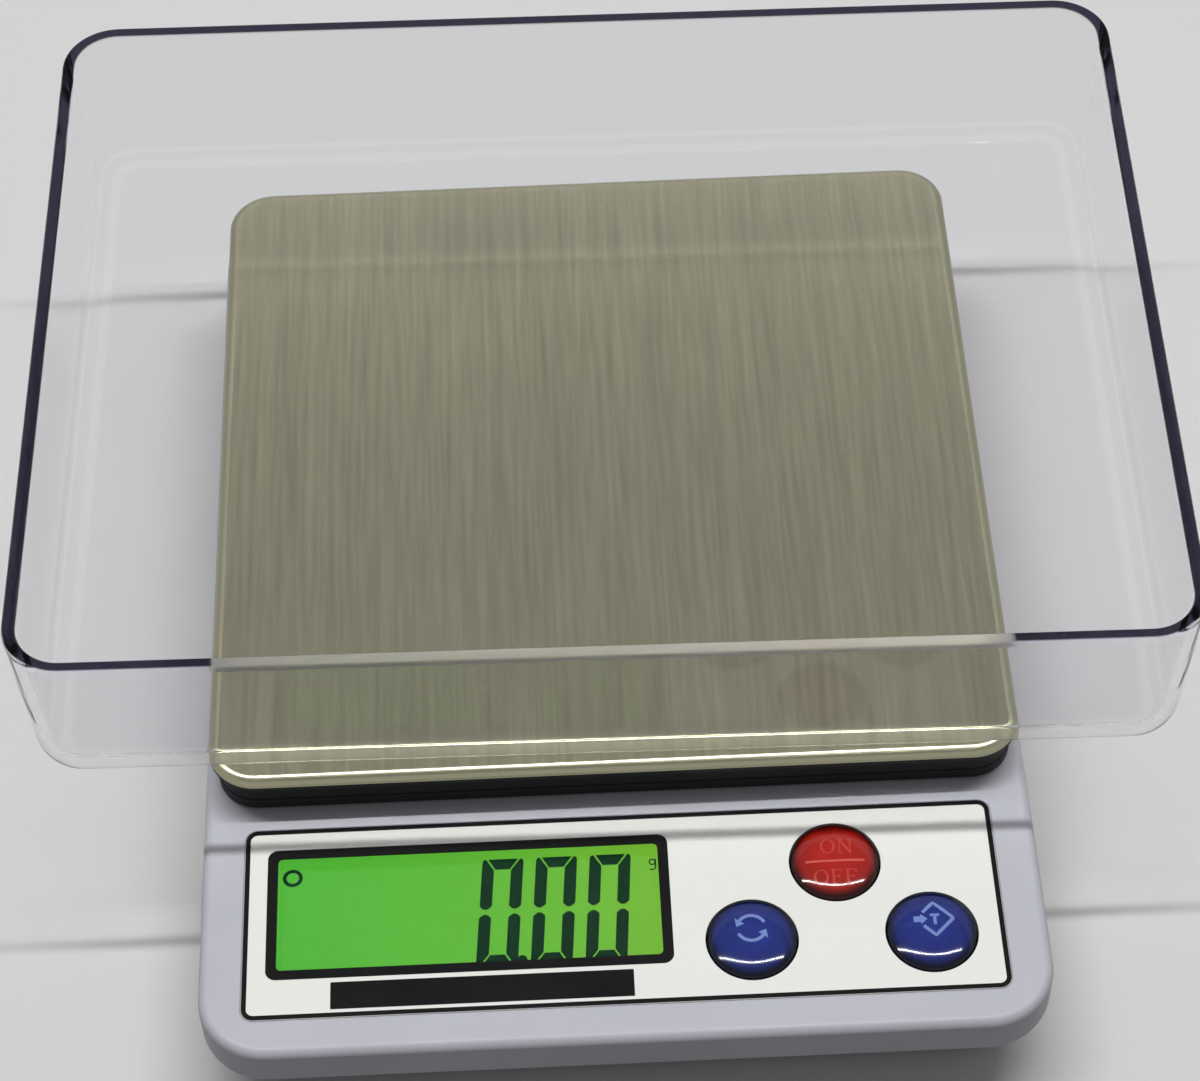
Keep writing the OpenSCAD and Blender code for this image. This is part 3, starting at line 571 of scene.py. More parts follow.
def new_finish(name, **sockets):
    """A material with one Principled shader, whose sockets are set by name."""
    material = bpy.data.materials.new(name)
    material.use_nodes = True
    tree = material.node_tree
    tree.nodes.clear()
    shader = put(tree, "BsdfPrincipled", **sockets)
    out = tree.nodes.new("ShaderNodeOutputMaterial")
    tree.links.new(shader.outputs[0], out.inputs["Surface"])
    return material, tree, shader


def rgba(colour, times=1.0):
    """A colour with its alpha, made lighter or darker."""
    return tuple(min(1.0, float(part) * times) for part in colour[:3]) + (1.0,)


def bump(tree, shader, height, strength, distance):
    """Relief from a height, fed to the shader's normal."""
    node = put(tree, "Bump", Strength=strength, Distance=distance, Height=height)
    join(tree, node.outputs[0], shader.inputs["Normal"])


def mottled(tree, colour, shade, scale):
    """A colour that varies slowly towards a shade of itself."""
    group = use_group(tree, "Mottle", First=rgba(colour), Second=rgba(colour, shade), Scale=scale)
    return group.outputs["Color"]


def grained(tree, shader, scale, low, high, relief, depth):
    """Fine grain for the shader's roughness, between low and high, and for its relief."""
    texture = use_group(tree, "Fine grain", Scale=scale, Low=low, High=high)
    join(tree, texture.outputs["Roughness"], shader.inputs["Roughness"])
    bump(tree, shader, texture.outputs["Height"], relief, depth)
    return texture.outputs["Roughness"]


def moulded(name, colour, low, high, grain=2500.0, relief=0.12, dust=0.0, shade=0.93, **sockets):
    """Moulded plastic or rubber: mottled colour, fine grain and a little dust."""
    material, tree, shader = new_finish(name, **sockets)
    dusted = use_group(tree, "Settled dust", Color=mottled(tree, colour, shade, 60.0), Amount=dust)
    join(tree, dusted.outputs["Color"], shader.inputs["Base Color"])
    grained(tree, shader, grain, low, high, relief, 0.05 * MM)
    return material


def zinc_plate():
    """Zinc plated steel: mottled colour, a fine grain and a wandering roughness."""
    material, tree, shader = new_finish("Zinc plated steel", Metallic=1.0)
    join(tree, mottled(tree, (0.62, 0.63, 0.66), 0.8, 180.0), shader.inputs["Base Color"])
    grained(tree, shader, 1500.0, 0.22, 0.36, 0.10, 0.02 * MM)
    return material


def brushed_metal(name, colour, fine, broad, low, high, relief, contrast, **sockets):
    """Brushed metal, its tree and its shader: streaks in colour and roughness, and in relief if asked."""
    material, tree, shader = new_finish(name, Metallic=1.0, **sockets)
    streak = use_group(tree, "Brushed streaks", Fine=fine, Broad=broad)
    dark = 1.0 - contrast
    tone = blend(tree, streak.outputs["Tone"], (dark, dark, dark, 1.0), WHITE)
    stained = blend(tree, 1.0, mottled(tree, colour, 0.95, 28.0), tone, "MULTIPLY")
    join(tree, stained, shader.inputs["Base Color"])
    join(tree, spread(tree, streak.outputs["Tone"], 0.0, 1.0, low, high), shader.inputs["Roughness"])
    if relief:
        bump(tree, shader, streak.outputs["Height"], relief, 0.02 * MM)
    return material, tree, shader


def shadow_alpha(tree, shade):
    """Alpha for clear plastic: the shade for rays that carry light to a dull surface or a lamp, else 1."""
    rays = tree.nodes.new("ShaderNodeLightPath").outputs
    falling = maths(tree, "MAXIMUM", rays["Is Shadow Ray"], rays["Is Diffuse Ray"])
    return spread(tree, falling, 0.0, 1.0, 1.0, shade)


def clear_plastic(name, colour, low, high, bend):
    """Clear plastic with faint waves, and the tree and shader to give it its shadow."""
    material, tree, shader = new_finish(name, Transmission_Weight=1.0, IOR=bend)
    join(tree, rgba(colour), shader.inputs["Base Color"])
    grained(tree, shader, 70.0, low, high, 0.10, 0.2 * MM)
    return material, tree, shader


def window_plastic():
    """Clear display window, which lets nearly all light through."""
    material, tree, shader = clear_plastic("Clear window", (0.985, 0.992, 0.985), 0.01, 0.03, WINDOW_BEND)
    join(tree, shadow_alpha(tree, 0.05), shader.inputs["Alpha"])
    return material


def tray_plastic():
    """Clear plastic of the tray: its floor keeps back more light, and a painted highlight line round its
    foot isn't tinted.
    """
    colour = bpy.context.scene.scale_tray.colour
    material, tree, shader = clear_plastic("Clear tray plastic", colour, 0.02, 0.05, TRAY_BEND)
    height = axes_of(tree)["Z"]
    floor = float(TRAY_LO[2])
    # The painted highlight line round the foot begins and ends at these heights, just above the inside of
    # the floor.
    rise = spread(tree, height, floor + 2.1 * MM, floor + 2.3 * MM)
    fall = spread(tree, height, floor + 2.7 * MM, floor + 3.1 * MM, 1.0, 0.0)
    lighter = blend(tree, maths(tree, "MULTIPLY", rise, fall), rgba(colour), WHITE)
    join(tree, lighter, shader.inputs["Base Color"])
    # The floor keeps back 0.19 of the light and the walls 0.05, with the change in the foot's round.
    shade = spread(tree, height, floor + 3 * MM, floor + 6 * MM, 0.19, 0.05)
    join(tree, shadow_alpha(tree, shade), shader.inputs["Alpha"])
    return material


def tray_edge():
    """Rim of the clear tray: dark across its width with a painted shade, clear with a painted violet fringe
    at its outer front edge.

    The attribute "inset" is the distance from the tray's outside. In front of the steel the rim is dull and
    tinted, most at the left, with a painted likeness of the steel seen through it, and seen from within the
    plastic it is clear all over.
    """
    sizes = bpy.context.scene.scale_tray
    material, tree, shader = new_finish(
        "Tray rim", Transmission_Weight=1.0, IOR=TRAY_BEND, Roughness=0.2
    )
    inset = put(tree, "Attribute", {"attribute_name": "inset"}).outputs["Fac"]
    place = axes_of(tree)
    # Masks for the front and the back of the rim, and for the part ahead of the plate.
    front_y, back_y, plate = float(TRAY_LO[1]), float(TRAY_HI[1]), float(PLATE_HI[0])
    front = spread(tree, place["Y"], front_y + 4 * MM, front_y + 7 * MM, 1.0, 0.0)
    back = spread(tree, place["Y"], back_y - 6 * MM, back_y - 3 * MM)
    across = maths(tree, "ABSOLUTE", place["X"])
    over = spread(tree, across, plate - 4.6 * MM, plate - 3.4 * MM, 1.0, 0.0)
    ahead = maths(tree, "MULTIPLY", front, over)
    outside = maths(tree, "SUBTRACT", 1.0, tree.nodes.new("ShaderNodeNewGeometry").outputs["Backfacing"])
    shown = maths(tree, "MULTIPLY", maths(tree, "SUBTRACT", 1.0, ahead), outside)
    over_steel = maths(tree, "MULTIPLY", ahead, outside)

    # The dark core is painted shade; it starts further in at the front, where the painted fringe shows
    # before it.
    start = spread(tree, front, 0.0, 1.0, 0.0, 0.3 * MM)
    outer = spread(tree, inset, start, maths(tree, "ADD", start, 0.3 * MM), 0.0, 1.0)
    inner = spread(tree, inset, sizes.wall - 0.2 * MM, sizes.wall, 1.0, 0.0)
    core = maths(tree, "MULTIPLY", outer, inner)
    # The painted shade is a tenth lighter at the back.
    faded = maths(tree, "SUBTRACT", 1.0, maths(tree, "MULTIPLY", back, 0.10))
    dark = maths(tree, "MULTIPLY", core, maths(tree, "MULTIPLY", shown, faded))
    edge = spread(tree, inset, start, maths(tree, "ADD", start, 0.12 * MM), 0.0, 1.0)
    violet = maths(tree, "MULTIPLY", maths(tree, "MULTIPLY", front, shown), edge)

    # Painted light: the violet fringe at the front edge, and over the steel a painted likeness of the steel
    # and its highlights, darker at the left.
    fringe = blend(tree, violet, rgba(sizes.colour), rgba(sizes.fringe))
    rightward = spread(tree, place["X"], -plate, plate)
    rim_over_steel_painted = blend(tree, rightward, rgba(sizes.rim_over_steel_painted), rgba(sizes.rim_over_steel_painted_right))
    plain = blend(tree, over_steel, fringe, rim_over_steel_painted)
    # The painted shade darkens the rim to its dark colour.
    colour = blend(tree, spread(tree, dark, 0.0, 0.9), plain, rgba(sizes.dark))
    join(tree, colour, shader.inputs["Base Color"])
    rough = grained(tree, shader, 400.0, 0.18, 0.26, 0.05, 0.1 * MM)
    dull = spread(tree, over_steel, 0.0, 1.0, 0.0, 0.75)
    join(tree, maths(tree, "MAXIMUM", rough, dull), shader.inputs["Roughness"])
    join(tree, shadow_alpha(tree, spread(tree, core, 0.0, 1.0, 0.06, 0.9)), shader.inputs["Alpha"])
    return material


def label_print():
    """Glossy printed sheet, with a slow unevenness."""
    colour = bpy.context.scene.scale_panel.colour
    return moulded("Printed label", colour, 0.20, 0.27, 900.0, 0.02, 0.04, 0.992, Specular_IOR_Level=0.4)


def lit_display():
    """Lit display: green that turns yellower to the right, with slow clouds and faint fine dots."""
    sizes = bpy.context.scene.scale_display
    material, tree, shader = new_finish(
        "Lit display", Roughness=0.35, Emission_Strength=1.0, Specular_IOR_Level=0.1
    )
    across = spread(tree, axes_of(tree)["X"], float(WINDOW_LO[0]), float(WINDOW_HI[0]), 0.0, 1.0)
    bend = maths(tree, "POWER", across, 1.6)
    colour = blend(tree, bend, rgba(sizes.green), rgba(sizes.green_right))
    cloud = use_group(tree, "Mottle", First=WHITE, Second=(0.93, 0.95, 0.9, 1), Scale=45.0)
    lit = blend(tree, 1.0, colour, cloud.outputs["Color"], "MULTIPLY")
    dots = put(tree, "TexNoise", Vector=place_of(tree), Scale=1800.0, Detail=1.0)
    fine = blend(tree, spread(tree, dots.outputs[0], 0.3, 0.7, 0.0, 0.06), lit, (0, 0, 0, 1))
    join(tree, fine, shader.inputs["Emission Color"])
    join(tree, rgba(sizes.green, 0.08), shader.inputs["Base Color"])
    return material


def digit_ink():
    """Dark digits of the display, a little uneven."""
    colour = bpy.context.scene.scale_display.digit
    material, tree, shader = new_finish(
        "Display digits", Roughness=0.4, Emission_Strength=1.0, Specular_IOR_Level=0.05
    )
    join(tree, mottled(tree, colour, 0.6, 500.0), shader.inputs["Emission Color"])
    join(tree, rgba(colour, 0.2), shader.inputs["Base Color"])
    return material


def domed_gloss(name, colour):
    """Glossy domed button whose colour darkens towards its rim, most at the front, as painted shade."""
    material, tree, shader = new_finish(name, Specular_IOR_Level=0.35, IOR=1.5)
    rim = put(tree, "Attribute", {"attribute_name": "rim"}).outputs["Fac"]
    # Painted shade: darker from the middle outwards, and near black at the rim.
    shaded = spread(tree, rim, 0.30, 0.80, 0.0, 0.5)
    deep = blend(tree, shaded, mottled(tree, colour, 0.84, 420.0), rgba(colour, 0.42))
    dark = blend(tree, spread(tree, rim, 0.79, 0.95), deep, rgba(colour, 0.05))
    join(tree, dark, shader.inputs["Base Color"])
    grained(tree, shader, 300.0, 0.07, 0.11, 0.03, 0.1 * MM)
    return material


def cell_sleeve():
    """Printed sleeve of a cell: dark with a copper-coloured end, and no words."""
    material, tree, shader = new_finish("Cell sleeve", Coat_Weight=0.4, Coat_Roughness=0.15)
    along = put(tree, "Attribute", {"attribute_name": "along"}).outputs["Fac"]
    band = spread(tree, along, 0.70, 0.705)
    colour = blend(tree, band, (0.012, 0.016, 0.035, 1), (0.45, 0.19, 0.07, 1))
    mottle = use_group(tree, "Mottle", First=colour, Second=(0.03, 0.03, 0.05, 1), Scale=20.0)
    faint = blend(tree, 0.12, colour, mottle.outputs["Color"])
    join(tree, faint, shader.inputs["Base Color"])
    join(tree, spread(tree, band, 0.0, 1.0, 0.35, 0.28), shader.inputs["Roughness"])
    join(tree, maths(tree, "MULTIPLY", band, 0.7), shader.inputs["Metallic"])
    return material


def laminate():
    """Circuit board: green mask over a faint weave, with tracks and bare pads' tone."""
    material, tree, shader = new_finish("Board laminate", Coat_Weight=0.3, Coat_Roughness=0.2)
    place = place_of(tree)
    weave = put(
        tree, "TexChecker", Vector=place, Color1=(0.012, 0.10, 0.05, 1), Color2=(0.018, 0.13, 0.065, 1),
        Scale=1600.0,
    )
    brick = put(
        tree, "TexBrick", Vector=place, Color1=(0.03, 0.21, 0.10, 1), Color2=(0.03, 0.19, 0.09, 1),
        Mortar=(0.012, 0.09, 0.045, 1), Scale=190.0, Mortar_Size=0.03,
    )
    tracks = blend(tree, 0.6, weave.outputs[0], brick.outputs[0])
    join(tree, tracks, shader.inputs["Base Color"])
    texture = use_group(tree, "Fine grain", Scale=1200.0, Low=0.35, High=0.5)
    join(tree, texture.outputs["Roughness"], shader.inputs["Roughness"])
    bump(tree, shader, brick.outputs[1], 0.15, 0.04 * MM)
    return material


def zebra():
    """Contact strip: fine dark and light layers along its length."""
    material, tree, shader = new_finish("Contact strip", Roughness=0.6)
    wave = put(tree, "TexWave", {"bands_direction": "X"}, Vector=place_of(tree), Scale=700.0)
    colour = blend(tree, wave.outputs[1], (0.02, 0.02, 0.022, 1), (0.55, 0.30, 0.34, 1))
    join(tree, colour, shader.inputs["Base Color"])
    return material


def key_mark(name, colour):
    """Printing under a button's gloss."""
    return moulded(name, colour, 0.12, 0.2, 900.0, 0.02, 0.0, 0.85, Specular_IOR_Level=0.3)


def plate_steel():
    """Brushed steel of the platform: fine streaks from front to back, which spread light sideways.

    Its folded edge is duller than its top, and darker with a painted shade.
    """
    colour = bpy.context.scene.scale_platform.colour
    material, tree, shader = brushed_metal(
        "Brushed stainless", colour, fine=(1150.0, 42.0, 1150.0), broad=(420.0, 11.0, 420.0),
        low=0.19, high=0.22, relief=0.0, contrast=0.18, Anisotropic=0.8,
    )
    rough, tone = shader.inputs["Roughness"], shader.inputs["Base Color"]
    join(tree, put(tree, "CombineXYZ", X=1.0).outputs[0], shader.inputs["Tangent"])
    height = axes_of(tree)["Z"]
    top = float(PLATE_HI[2])
    # The fold is duller from just under the top on, and darker further down, a painted shade.
    dull = spread(tree, height, top - 0.02 * MM, top - 0.002 * MM, 0.30, 0.0)
    join(tree, maths(tree, "MAXIMUM", rough.links[0].from_socket, dull), rough)
    side = spread(tree, height, top - 0.20 * MM, top - 0.05 * MM, 1.0, 0.0)
    join(tree, blend(tree, side, tone.links[0].from_socket, rgba(colour, 0.64)), tone)
    return material


def case_plastic():
    """Light grey moulded plastic with a fine spark-eroded texture."""
    sizes = bpy.context.scene.scale_case
    return moulded("Moulded grey case", sizes.colour, 0.42, 0.52, 2600.0, 0.22, 0.05, 0.95)


FINISHES = {
    "case": case_plastic,
    "label": label_print,
    "ink": lambda: moulded(
        "Printing ink", bpy.context.scene.scale_panel.ink, 0.25, 0.34, 1500.0, 0.04, 0.0, 0.8,
        Specular_IOR_Level=0.1,
    ),
    "window": window_plastic,
    "lit": lit_display,
    "digits": digit_ink,
    "red": lambda: domed_gloss("Red gloss", bpy.context.scene.scale_keys.red),
    "blue": lambda: domed_gloss("Blue gloss", bpy.context.scene.scale_keys.blue),
    "red_mark": lambda: key_mark("Line on red", bpy.context.scene.scale_keys.red_mark),
    "red_word": lambda: key_mark("Words on red", bpy.context.scene.scale_keys.red_word),
    "blue_mark": lambda: key_mark("Mark on blue", bpy.context.scene.scale_keys.blue_mark),
    "steel": plate_steel,
    "clear": tray_plastic,
    "rim": tray_edge,
    "black": lambda: moulded(
        "Black plastic", (0.010, 0.010, 0.011), 0.45, 0.6, 2200.0, 0.2, 0.01, Specular_IOR_Level=0.18
    ),
    "switch": lambda: moulded("Switch plastic", (0.02, 0.02, 0.022), 0.35, 0.5, 1800.0, 0.12, 0.02),
    "white": lambda: moulded("White plastic", (0.78, 0.78, 0.75), 0.35, 0.45, 2200.0, 0.10, 0.03),
    "rubber": lambda: moulded("Foot rubber", (0.024, 0.024, 0.026), 0.62, 0.8, 1400.0, 0.3, 0.25),
    "silicone": lambda: moulded(
        "White sealant", (0.72, 0.72, 0.70), 0.3, 0.45, 500.0, 0.3, 0.02, Subsurface_Weight=0.2
    ),
    "guide": lambda: moulded(
        "Light guide", (0.72, 0.83, 0.62), 0.2, 0.3, 1200.0, 0.08, 0.0, Coat_Weight=0.3
    ),
    "lamp": lambda: moulded(
        "Lamp body", (0.86, 0.84, 0.62), 0.25, 0.35, 1500.0, 0.06, 0.0, Coat_Weight=0.5
    ),
    "board": laminate,
    "zebra": zebra,
    "wire": lambda: moulded("Wire jacket", (0.35, 0.03, 0.025), 0.35, 0.5, 1500.0, 0.08, 0.02),
    "chip": lambda: moulded("Chip epoxy", (0.018, 0.018, 0.019), 0.3, 0.6, 1100.0, 0.35, 0.04),
    "zinc": zinc_plate,
    "aluminium": lambda: brushed_metal(
        "Machined aluminium", (0.78, 0.79, 0.80), fine=(22.0, 2400.0, 2400.0), broad=(5.0, 260.0, 260.0),
        low=0.25, high=0.4, relief=0.3, contrast=0.2,
    )[0],
    "sleeve": cell_sleeve,
}

PACKED_NODES = {
    "case": ["battery_door"],
    "zinc": [
        "case_screws", "board_screws", "beam_shim", "beam_screws",
        "platform_screws", "battery_link", "battery_terminals",
    ],
    "guide": ["lcd_backlight"],
    "lamp": ["backlight_leds"],
    "white": ["lcd_holder", "lead_connector", "power_plunger", "mode_plunger", "tare_plunger"],
    "zebra": ["zebra_strip"],
    "board": ["main_board"],
    "chip": ["board_chips"],
    "switch": ["tact_switches"],
    "aluminium": ["load_cell", "top_spacer"],
    "silicone": ["gauge_seal"],
    "wire": ["gauge_leads", "battery_leads"],
    "black": ["platform_support"],
}


def finish_of(name):
    """The material of that name, made on first use."""
    if name not in made_finishes:
        made_finishes[name] = FINISHES[name]()
    return made_finishes[name]


# Camera and stage

CAMERA_AT = Vector((-6.1109, -301.0888, 409.4680)) * MM
CAMERA_RIGHT = Vector((0.999022, -0.040680, -0.017316))
CAMERA_UP = Vector((0.042721, 0.787340, 0.615037))
LENS = 96.0
SENSOR = 36.0
NEAR, FAR = 0.01, 50.0
FLOOR_RADIUS = 4.0
FLOOR_SIDES = 96
FLOOR_LIGHT = (0.66, 0.66, 0.66, 1.0)
FLOOR_DARK = (0.645, 0.645, 0.645, 1.0)
FLOOR_FILL = 0.11
TUBE_AT = (0.0, 0.35, 2.1)
TUBE_AIM = (0.0, 0.0, 0.02)
TUBE_SIZE = (2.4, 0.05)
TUBE_WATTS = 40.0
# The light that falls from the world, and what is seen and mirrored of it: its strength at the horizon,
# then the heights between which it changes (1 is straight up) and the strength that it changes to.
SKY_FILL = 0.22
SKY_HORIZON = 0.78
SKY_STEPS = ((0.0, 0.55, 0.66), (0.60, 0.69, 0.93), (0.714, 0.730, 0.42))


def soft_lamp(name, place, towards, size, power):
    """A wide area lamp that looks at a point."""
    lamp = bpy.data.lights.new(name, "AREA")
    lamp.shape = "RECTANGLE"
    lamp.size, lamp.size_y = size
    lamp.energy = power
    carrier = bpy.data.objects.new(name, lamp)
    aim = Vector(towards) - Vector(place)
    carrier.matrix_world = Matrix.Translation(place) @ aim.to_track_quat("-Z", "Y").to_matrix().to_4x4()
    bpy.context.scene.collection.objects.link(carrier)


class ScaleStage(Operator):
    """Camera, floor, soft light and colour management"""

    bl_idname = "digital_scale.stage"
    bl_label = "Stage"

    def execute(self, context):
        scene = context.scene
        camera = bpy.data.cameras.new("camera")
        camera.lens, camera.sensor_width, camera.sensor_fit = LENS, SENSOR, "HORIZONTAL"
        camera.clip_start, camera.clip_end = NEAR, FAR
        carrier = bpy.data.objects.new("camera", camera)
        back = CAMERA_RIGHT.cross(CAMERA_UP).normalized()
        turn = Matrix((CAMERA_RIGHT, CAMERA_UP, back)).transposed().to_4x4()
        carrier.matrix_world = Matrix.Translation(CAMERA_AT) @ turn
        scene.collection.objects.link(carrier)
        scene.camera = carrier

        mesh = bpy.data.meshes.new("floor")
        disc = loop_at(circle_path((0.0, 0.0), FLOOR_SIDES, FLOOR_RADIUS))
        mesh.from_pydata(to_height(disc, 0.0), [], [list(range(FLOOR_SIDES))])
        floor = bpy.data.objects.new("floor", mesh)
        scene.collection.objects.link(floor)
        material, tree, shader = new_finish("Pale floor", Roughness=0.75)
        mottle = use_group(tree, "Mottle", First=FLOOR_LIGHT, Second=FLOOR_DARK, Scale=3.0)
        dull = tree.nodes.new("ShaderNodeLightPath").outputs["Is Diffuse Ray"]
        colour = blend(tree, dull, mottle.outputs["Color"], (FLOOR_FILL, FLOOR_FILL, FLOOR_FILL, 1.0))
        join(tree, colour, shader.inputs["Base Color"])
        mesh.materials.append(material)

        world = bpy.data.worlds.new("studio")
        scene.world = world
        world.use_nodes = True
        tree = world.node_tree
        tree.nodes.clear()
        place = put(tree, "SeparateXYZ", Vector=tree.nodes.new("ShaderNodeTexCoord").outputs["Generated"])
        shown = SKY_HORIZON
        for start, end, strength in SKY_STEPS:
            shown = spread(tree, place.outputs["Z"], start, end, shown, strength)
        rays = tree.nodes.new("ShaderNodeLightPath").outputs
        seen = maths(tree, "MAXIMUM", rays["Is Camera Ray"], rays["Is Glossy Ray"])
        seen = maths(tree, "MAXIMUM", seen, rays["Is Transmission Ray"])
        level = spread(tree, seen, 0.0, 1.0, SKY_FILL, shown)
        sky = put(tree, "Background", Color=WHITE, Strength=level)
        out = tree.nodes.new("ShaderNodeOutputWorld")
        tree.links.new(sky.outputs[0], out.inputs["Surface"])
        soft_lamp("tube", TUBE_AT, TUBE_AIM, TUBE_SIZE, TUBE_WATTS)

        scene.view_settings.view_transform = "Standard"
        return {"FINISHED"}


# Pieces


class ScaleCaseTop(Operator):
    """Upper shell of the case, with rounded edges, the label's recess and the openings"""

    bl_idname = "digital_scale.case_top"
    bl_label = "Upper case"

    def execute(self, context):
        sizes = context.scene.scale_case
        shell = Shell()
        path = rounded_path(CASE_LO, CASE_HI, sizes.corner, 16)
        seam = DECK - sizes.side
        edge, break_in, lip = sizes.edge, 0.25 * MM, 0.15 * MM
        outer = np.concatenate([
            [(-edge - FLAT_EDGE, DECK)],
            arc((-edge, DECK - edge), edge, 90, 0, 10),
            [(0.0, seam + break_in + FLAT_EDGE)],
            arc((-break_in, seam + break_in), break_in, 0, -90, 3),
            [(-sizes.wall, seam), (-sizes.wall, DECK_UNDER)],
        ])
        shell.grid(carry(outer, path))

        gap = 0.1 * MM
        recess = rounded_path(LABEL_LO - gap, LABEL_HI + gap, context.scene.scale_panel.corner + gap)
        floor = float(LABEL_LO[2])
        openings = [rounded_path(WINDOW_LO, WINDOW_HI, context.scene.scale_display.corner)] + key_holes()
        loops = [loop_at(opening) for opening in openings]
        middle = middle_of("top_spacer")
        half = np.array([10.5, 8.35]) * MM
        well = rounded_path(middle - half, middle + half, 2 * MM, 6)

        rims = [loop_at(hole, lip + FLAT_EDGE) for hole in (recess, well)]
        shell.field([loop_at(path, -edge - FLAT_EDGE)] + rims, DECK)
        down = np.concatenate([[(lip + FLAT_EDGE, DECK)], arc((lip, DECK - lip), lip, 90, 180, 3)])
        shell.grid(carry(np.concatenate([down, [(0.0, floor)]]), recess))
        shell.grid(carry(np.concatenate([down, [(0.0, DECK_UNDER)]]), well))
        shell.field([loop_at(recess)] + loops, floor)
        for opening in openings:
            shell.grid(carry([(0.0, floor), (0.0, DECK_UNDER)], opening))

        posts = []
        tall = [(point, 3.5 * MM, 1.55 * MM, float(CASE_LO[2]), 6.5 * MM) for point in case_screw_places()]
        short = [(point, 2.5 * MM, 1.1 * MM, 9.6 * MM, 5.0 * MM) for point in board_screw_places()]
        for point, radius, pilot, end, reach in tall + short:
            post = circle_path(point, 32)
            profile = [
                (radius, DECK_UNDER), (radius, end + 0.3 * MM), (radius - 0.3 * MM, end), (pilot, end),
                (pilot, end + reach), (0.0, end + reach),
            ]
            shell.grid(carry(profile, post))
            posts.append(loop_at(post, radius))
        shell.field([loop_at(path, -sizes.wall), loop_at(well)] + loops + posts, DECK_UNDER)

        stop = float(CASE_HI[2])
        out, sunk, radius, soft = 44.0 * MM, 0.5 * MM, 3 * MM, 0.3 * MM
        pad = np.concatenate([
            [(0.0, DECK - sunk), (radius, DECK - sunk), (radius, stop - soft)],
            arc((radius - soft, stop - soft), soft, 0, 90, 3)[1:],
            [(radius - 2 * soft, stop), (0.0, stop)],
        ])
        for x, y in ((-1, -1), (1, -1), (1, 1), (-1, 1)):
            place = middle_of("platform_plate") + np.array([x, y]) * out
            shell.grid(carry(pad, circle_path(place, 32)))
        shell.build("case_top", ["case"], BASE, ["upper_case"], 32)
        return {"FINISHED"}


def key_radius(node):
    """Radius of a button's dome, inside its flange."""
    lo, hi = node_box(node)
    return float(hi[0] - lo[0]) / 2 - bpy.context.scene.scale_keys.flange_w


def key_holes():
    """Paths round the holes for the three buttons."""
    radius = key_radius(KEYS[0]) + bpy.context.scene.scale_keys.gap
    return [circle_path(middle_of(name), radius=radius) for name in KEYS]


def corners_of(node, edge):
    """Middles of the four like pieces in the corners of a node, each within edge of the corner."""
    lo, hi = node_box(node)
    return [np.array([x, y]) for x in (lo[0] + edge, hi[0] - edge) for y in (lo[1] + edge, hi[1] - edge)]


def case_screw_places():
    """Middles of the four case screws."""
    return corners_of("case_screws", 2.7 * MM)


def board_screw_places():
    """Middles of the four board screws: three at the back of the board and one between the lower keys."""
    lo, hi = node_box("board_screws")
    edge = 1.9 * MM
    power = middle_of("power_button")
    back = hi[1] - edge
    return [
        np.array([lo[0] + edge, back]), np.array([0.0, back]), np.array([hi[0] - edge, back]),
        np.array([power[0], lo[1] + edge]),
    ]


class ScaleLowerCase(Operator):
    """Lower shell, with small rounds on the packed shape's edges"""

    bl_idname = "digital_scale.lower_case"
    bl_label = "Lower case"

    def execute(self, context):
        sizes = context.scene.scale_case
        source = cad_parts["lower_case"]
        mesh = source.data.copy()
        mesh.name = "case_bottom"
        mesh.materials.clear()
        work = bmesh.new()
        work.from_mesh(mesh)
        bmesh.ops.remove_doubles(work, verts=work.verts, dist=WELD)
        bmesh.ops.dissolve_limit(
            work, angle_limit=np.radians(0.5), verts=work.verts, edges=work.edges, delimit=set()
        )
        work.to_mesh(mesh)
        work.free()
        piece = finish_mesh(mesh, "case_bottom", ["case"], BASE, ["lower_case"], 30)
        bevel = piece.modifiers.new("edges", "BEVEL")
        bevel.width = sizes.round_low
        bevel.segments = 2
        bevel.limit_method = "ANGLE"
        bevel.angle_limit = np.radians(40)
        bevel.harden_normals = True
        bevel.use_clamp_overlap = True
        return {"FINISHED"}


class ScaleLabel(Operator):
    """Printed label with its outline and the bare dark strip under the display"""

    bl_idname = "digital_scale.label"
    bl_label = "Label"

    def execute(self, context):
        sizes = context.scene.scale_panel
        low, high = float(LABEL_LO[2]), float(LABEL_HI[2])
        path = rounded_path(LABEL_LO, LABEL_HI, sizes.corner)
        gap, lip = 0.1 * MM, 0.05 * MM
        opening = rounded_path(WINDOW_LO - gap, WINDOW_HI + gap, context.scene.scale_display.corner + gap)
        holes = [opening] + key_holes()
        loops = [loop_at(hole) for hole in holes]
        shell = Shell()
        shell.field([loop_at(path, -lip - FLAT_EDGE)] + loops, high)
        side = [(-lip - FLAT_EDGE, high), (-lip, high), (0.0, high - lip), (0.0, low)]
        shell.grid(carry(side, path))
        for hole in holes:
            shell.grid(carry([(0.0, high), (0.0, low)], hole))
        shell.field([loop_at(path)] + loops, low)
        shell.build("label", ["label"], BASE, ["panel_label"])

        ink = Shell()
        printed = (high - PRINT, high + PRINT)
        ink.ring(path, -lip - sizes.outline, -lip, *printed)
        ink.ring(opening, -0.02 * MM, sizes.ring, *printed)
        centre = middle_of("panel_label") + np.array([sizes.strip_x, sizes.strip_y])
        half = np.array([sizes.strip_w, sizes.strip_l]) / 2
        strip = rounded_path(centre - half, centre + half, 0.12 * MM, 3)
        ink.slab(loop_at(strip), *printed)
        ink.build("label_printing", ["ink"], BASE)
        return {"FINISHED"}


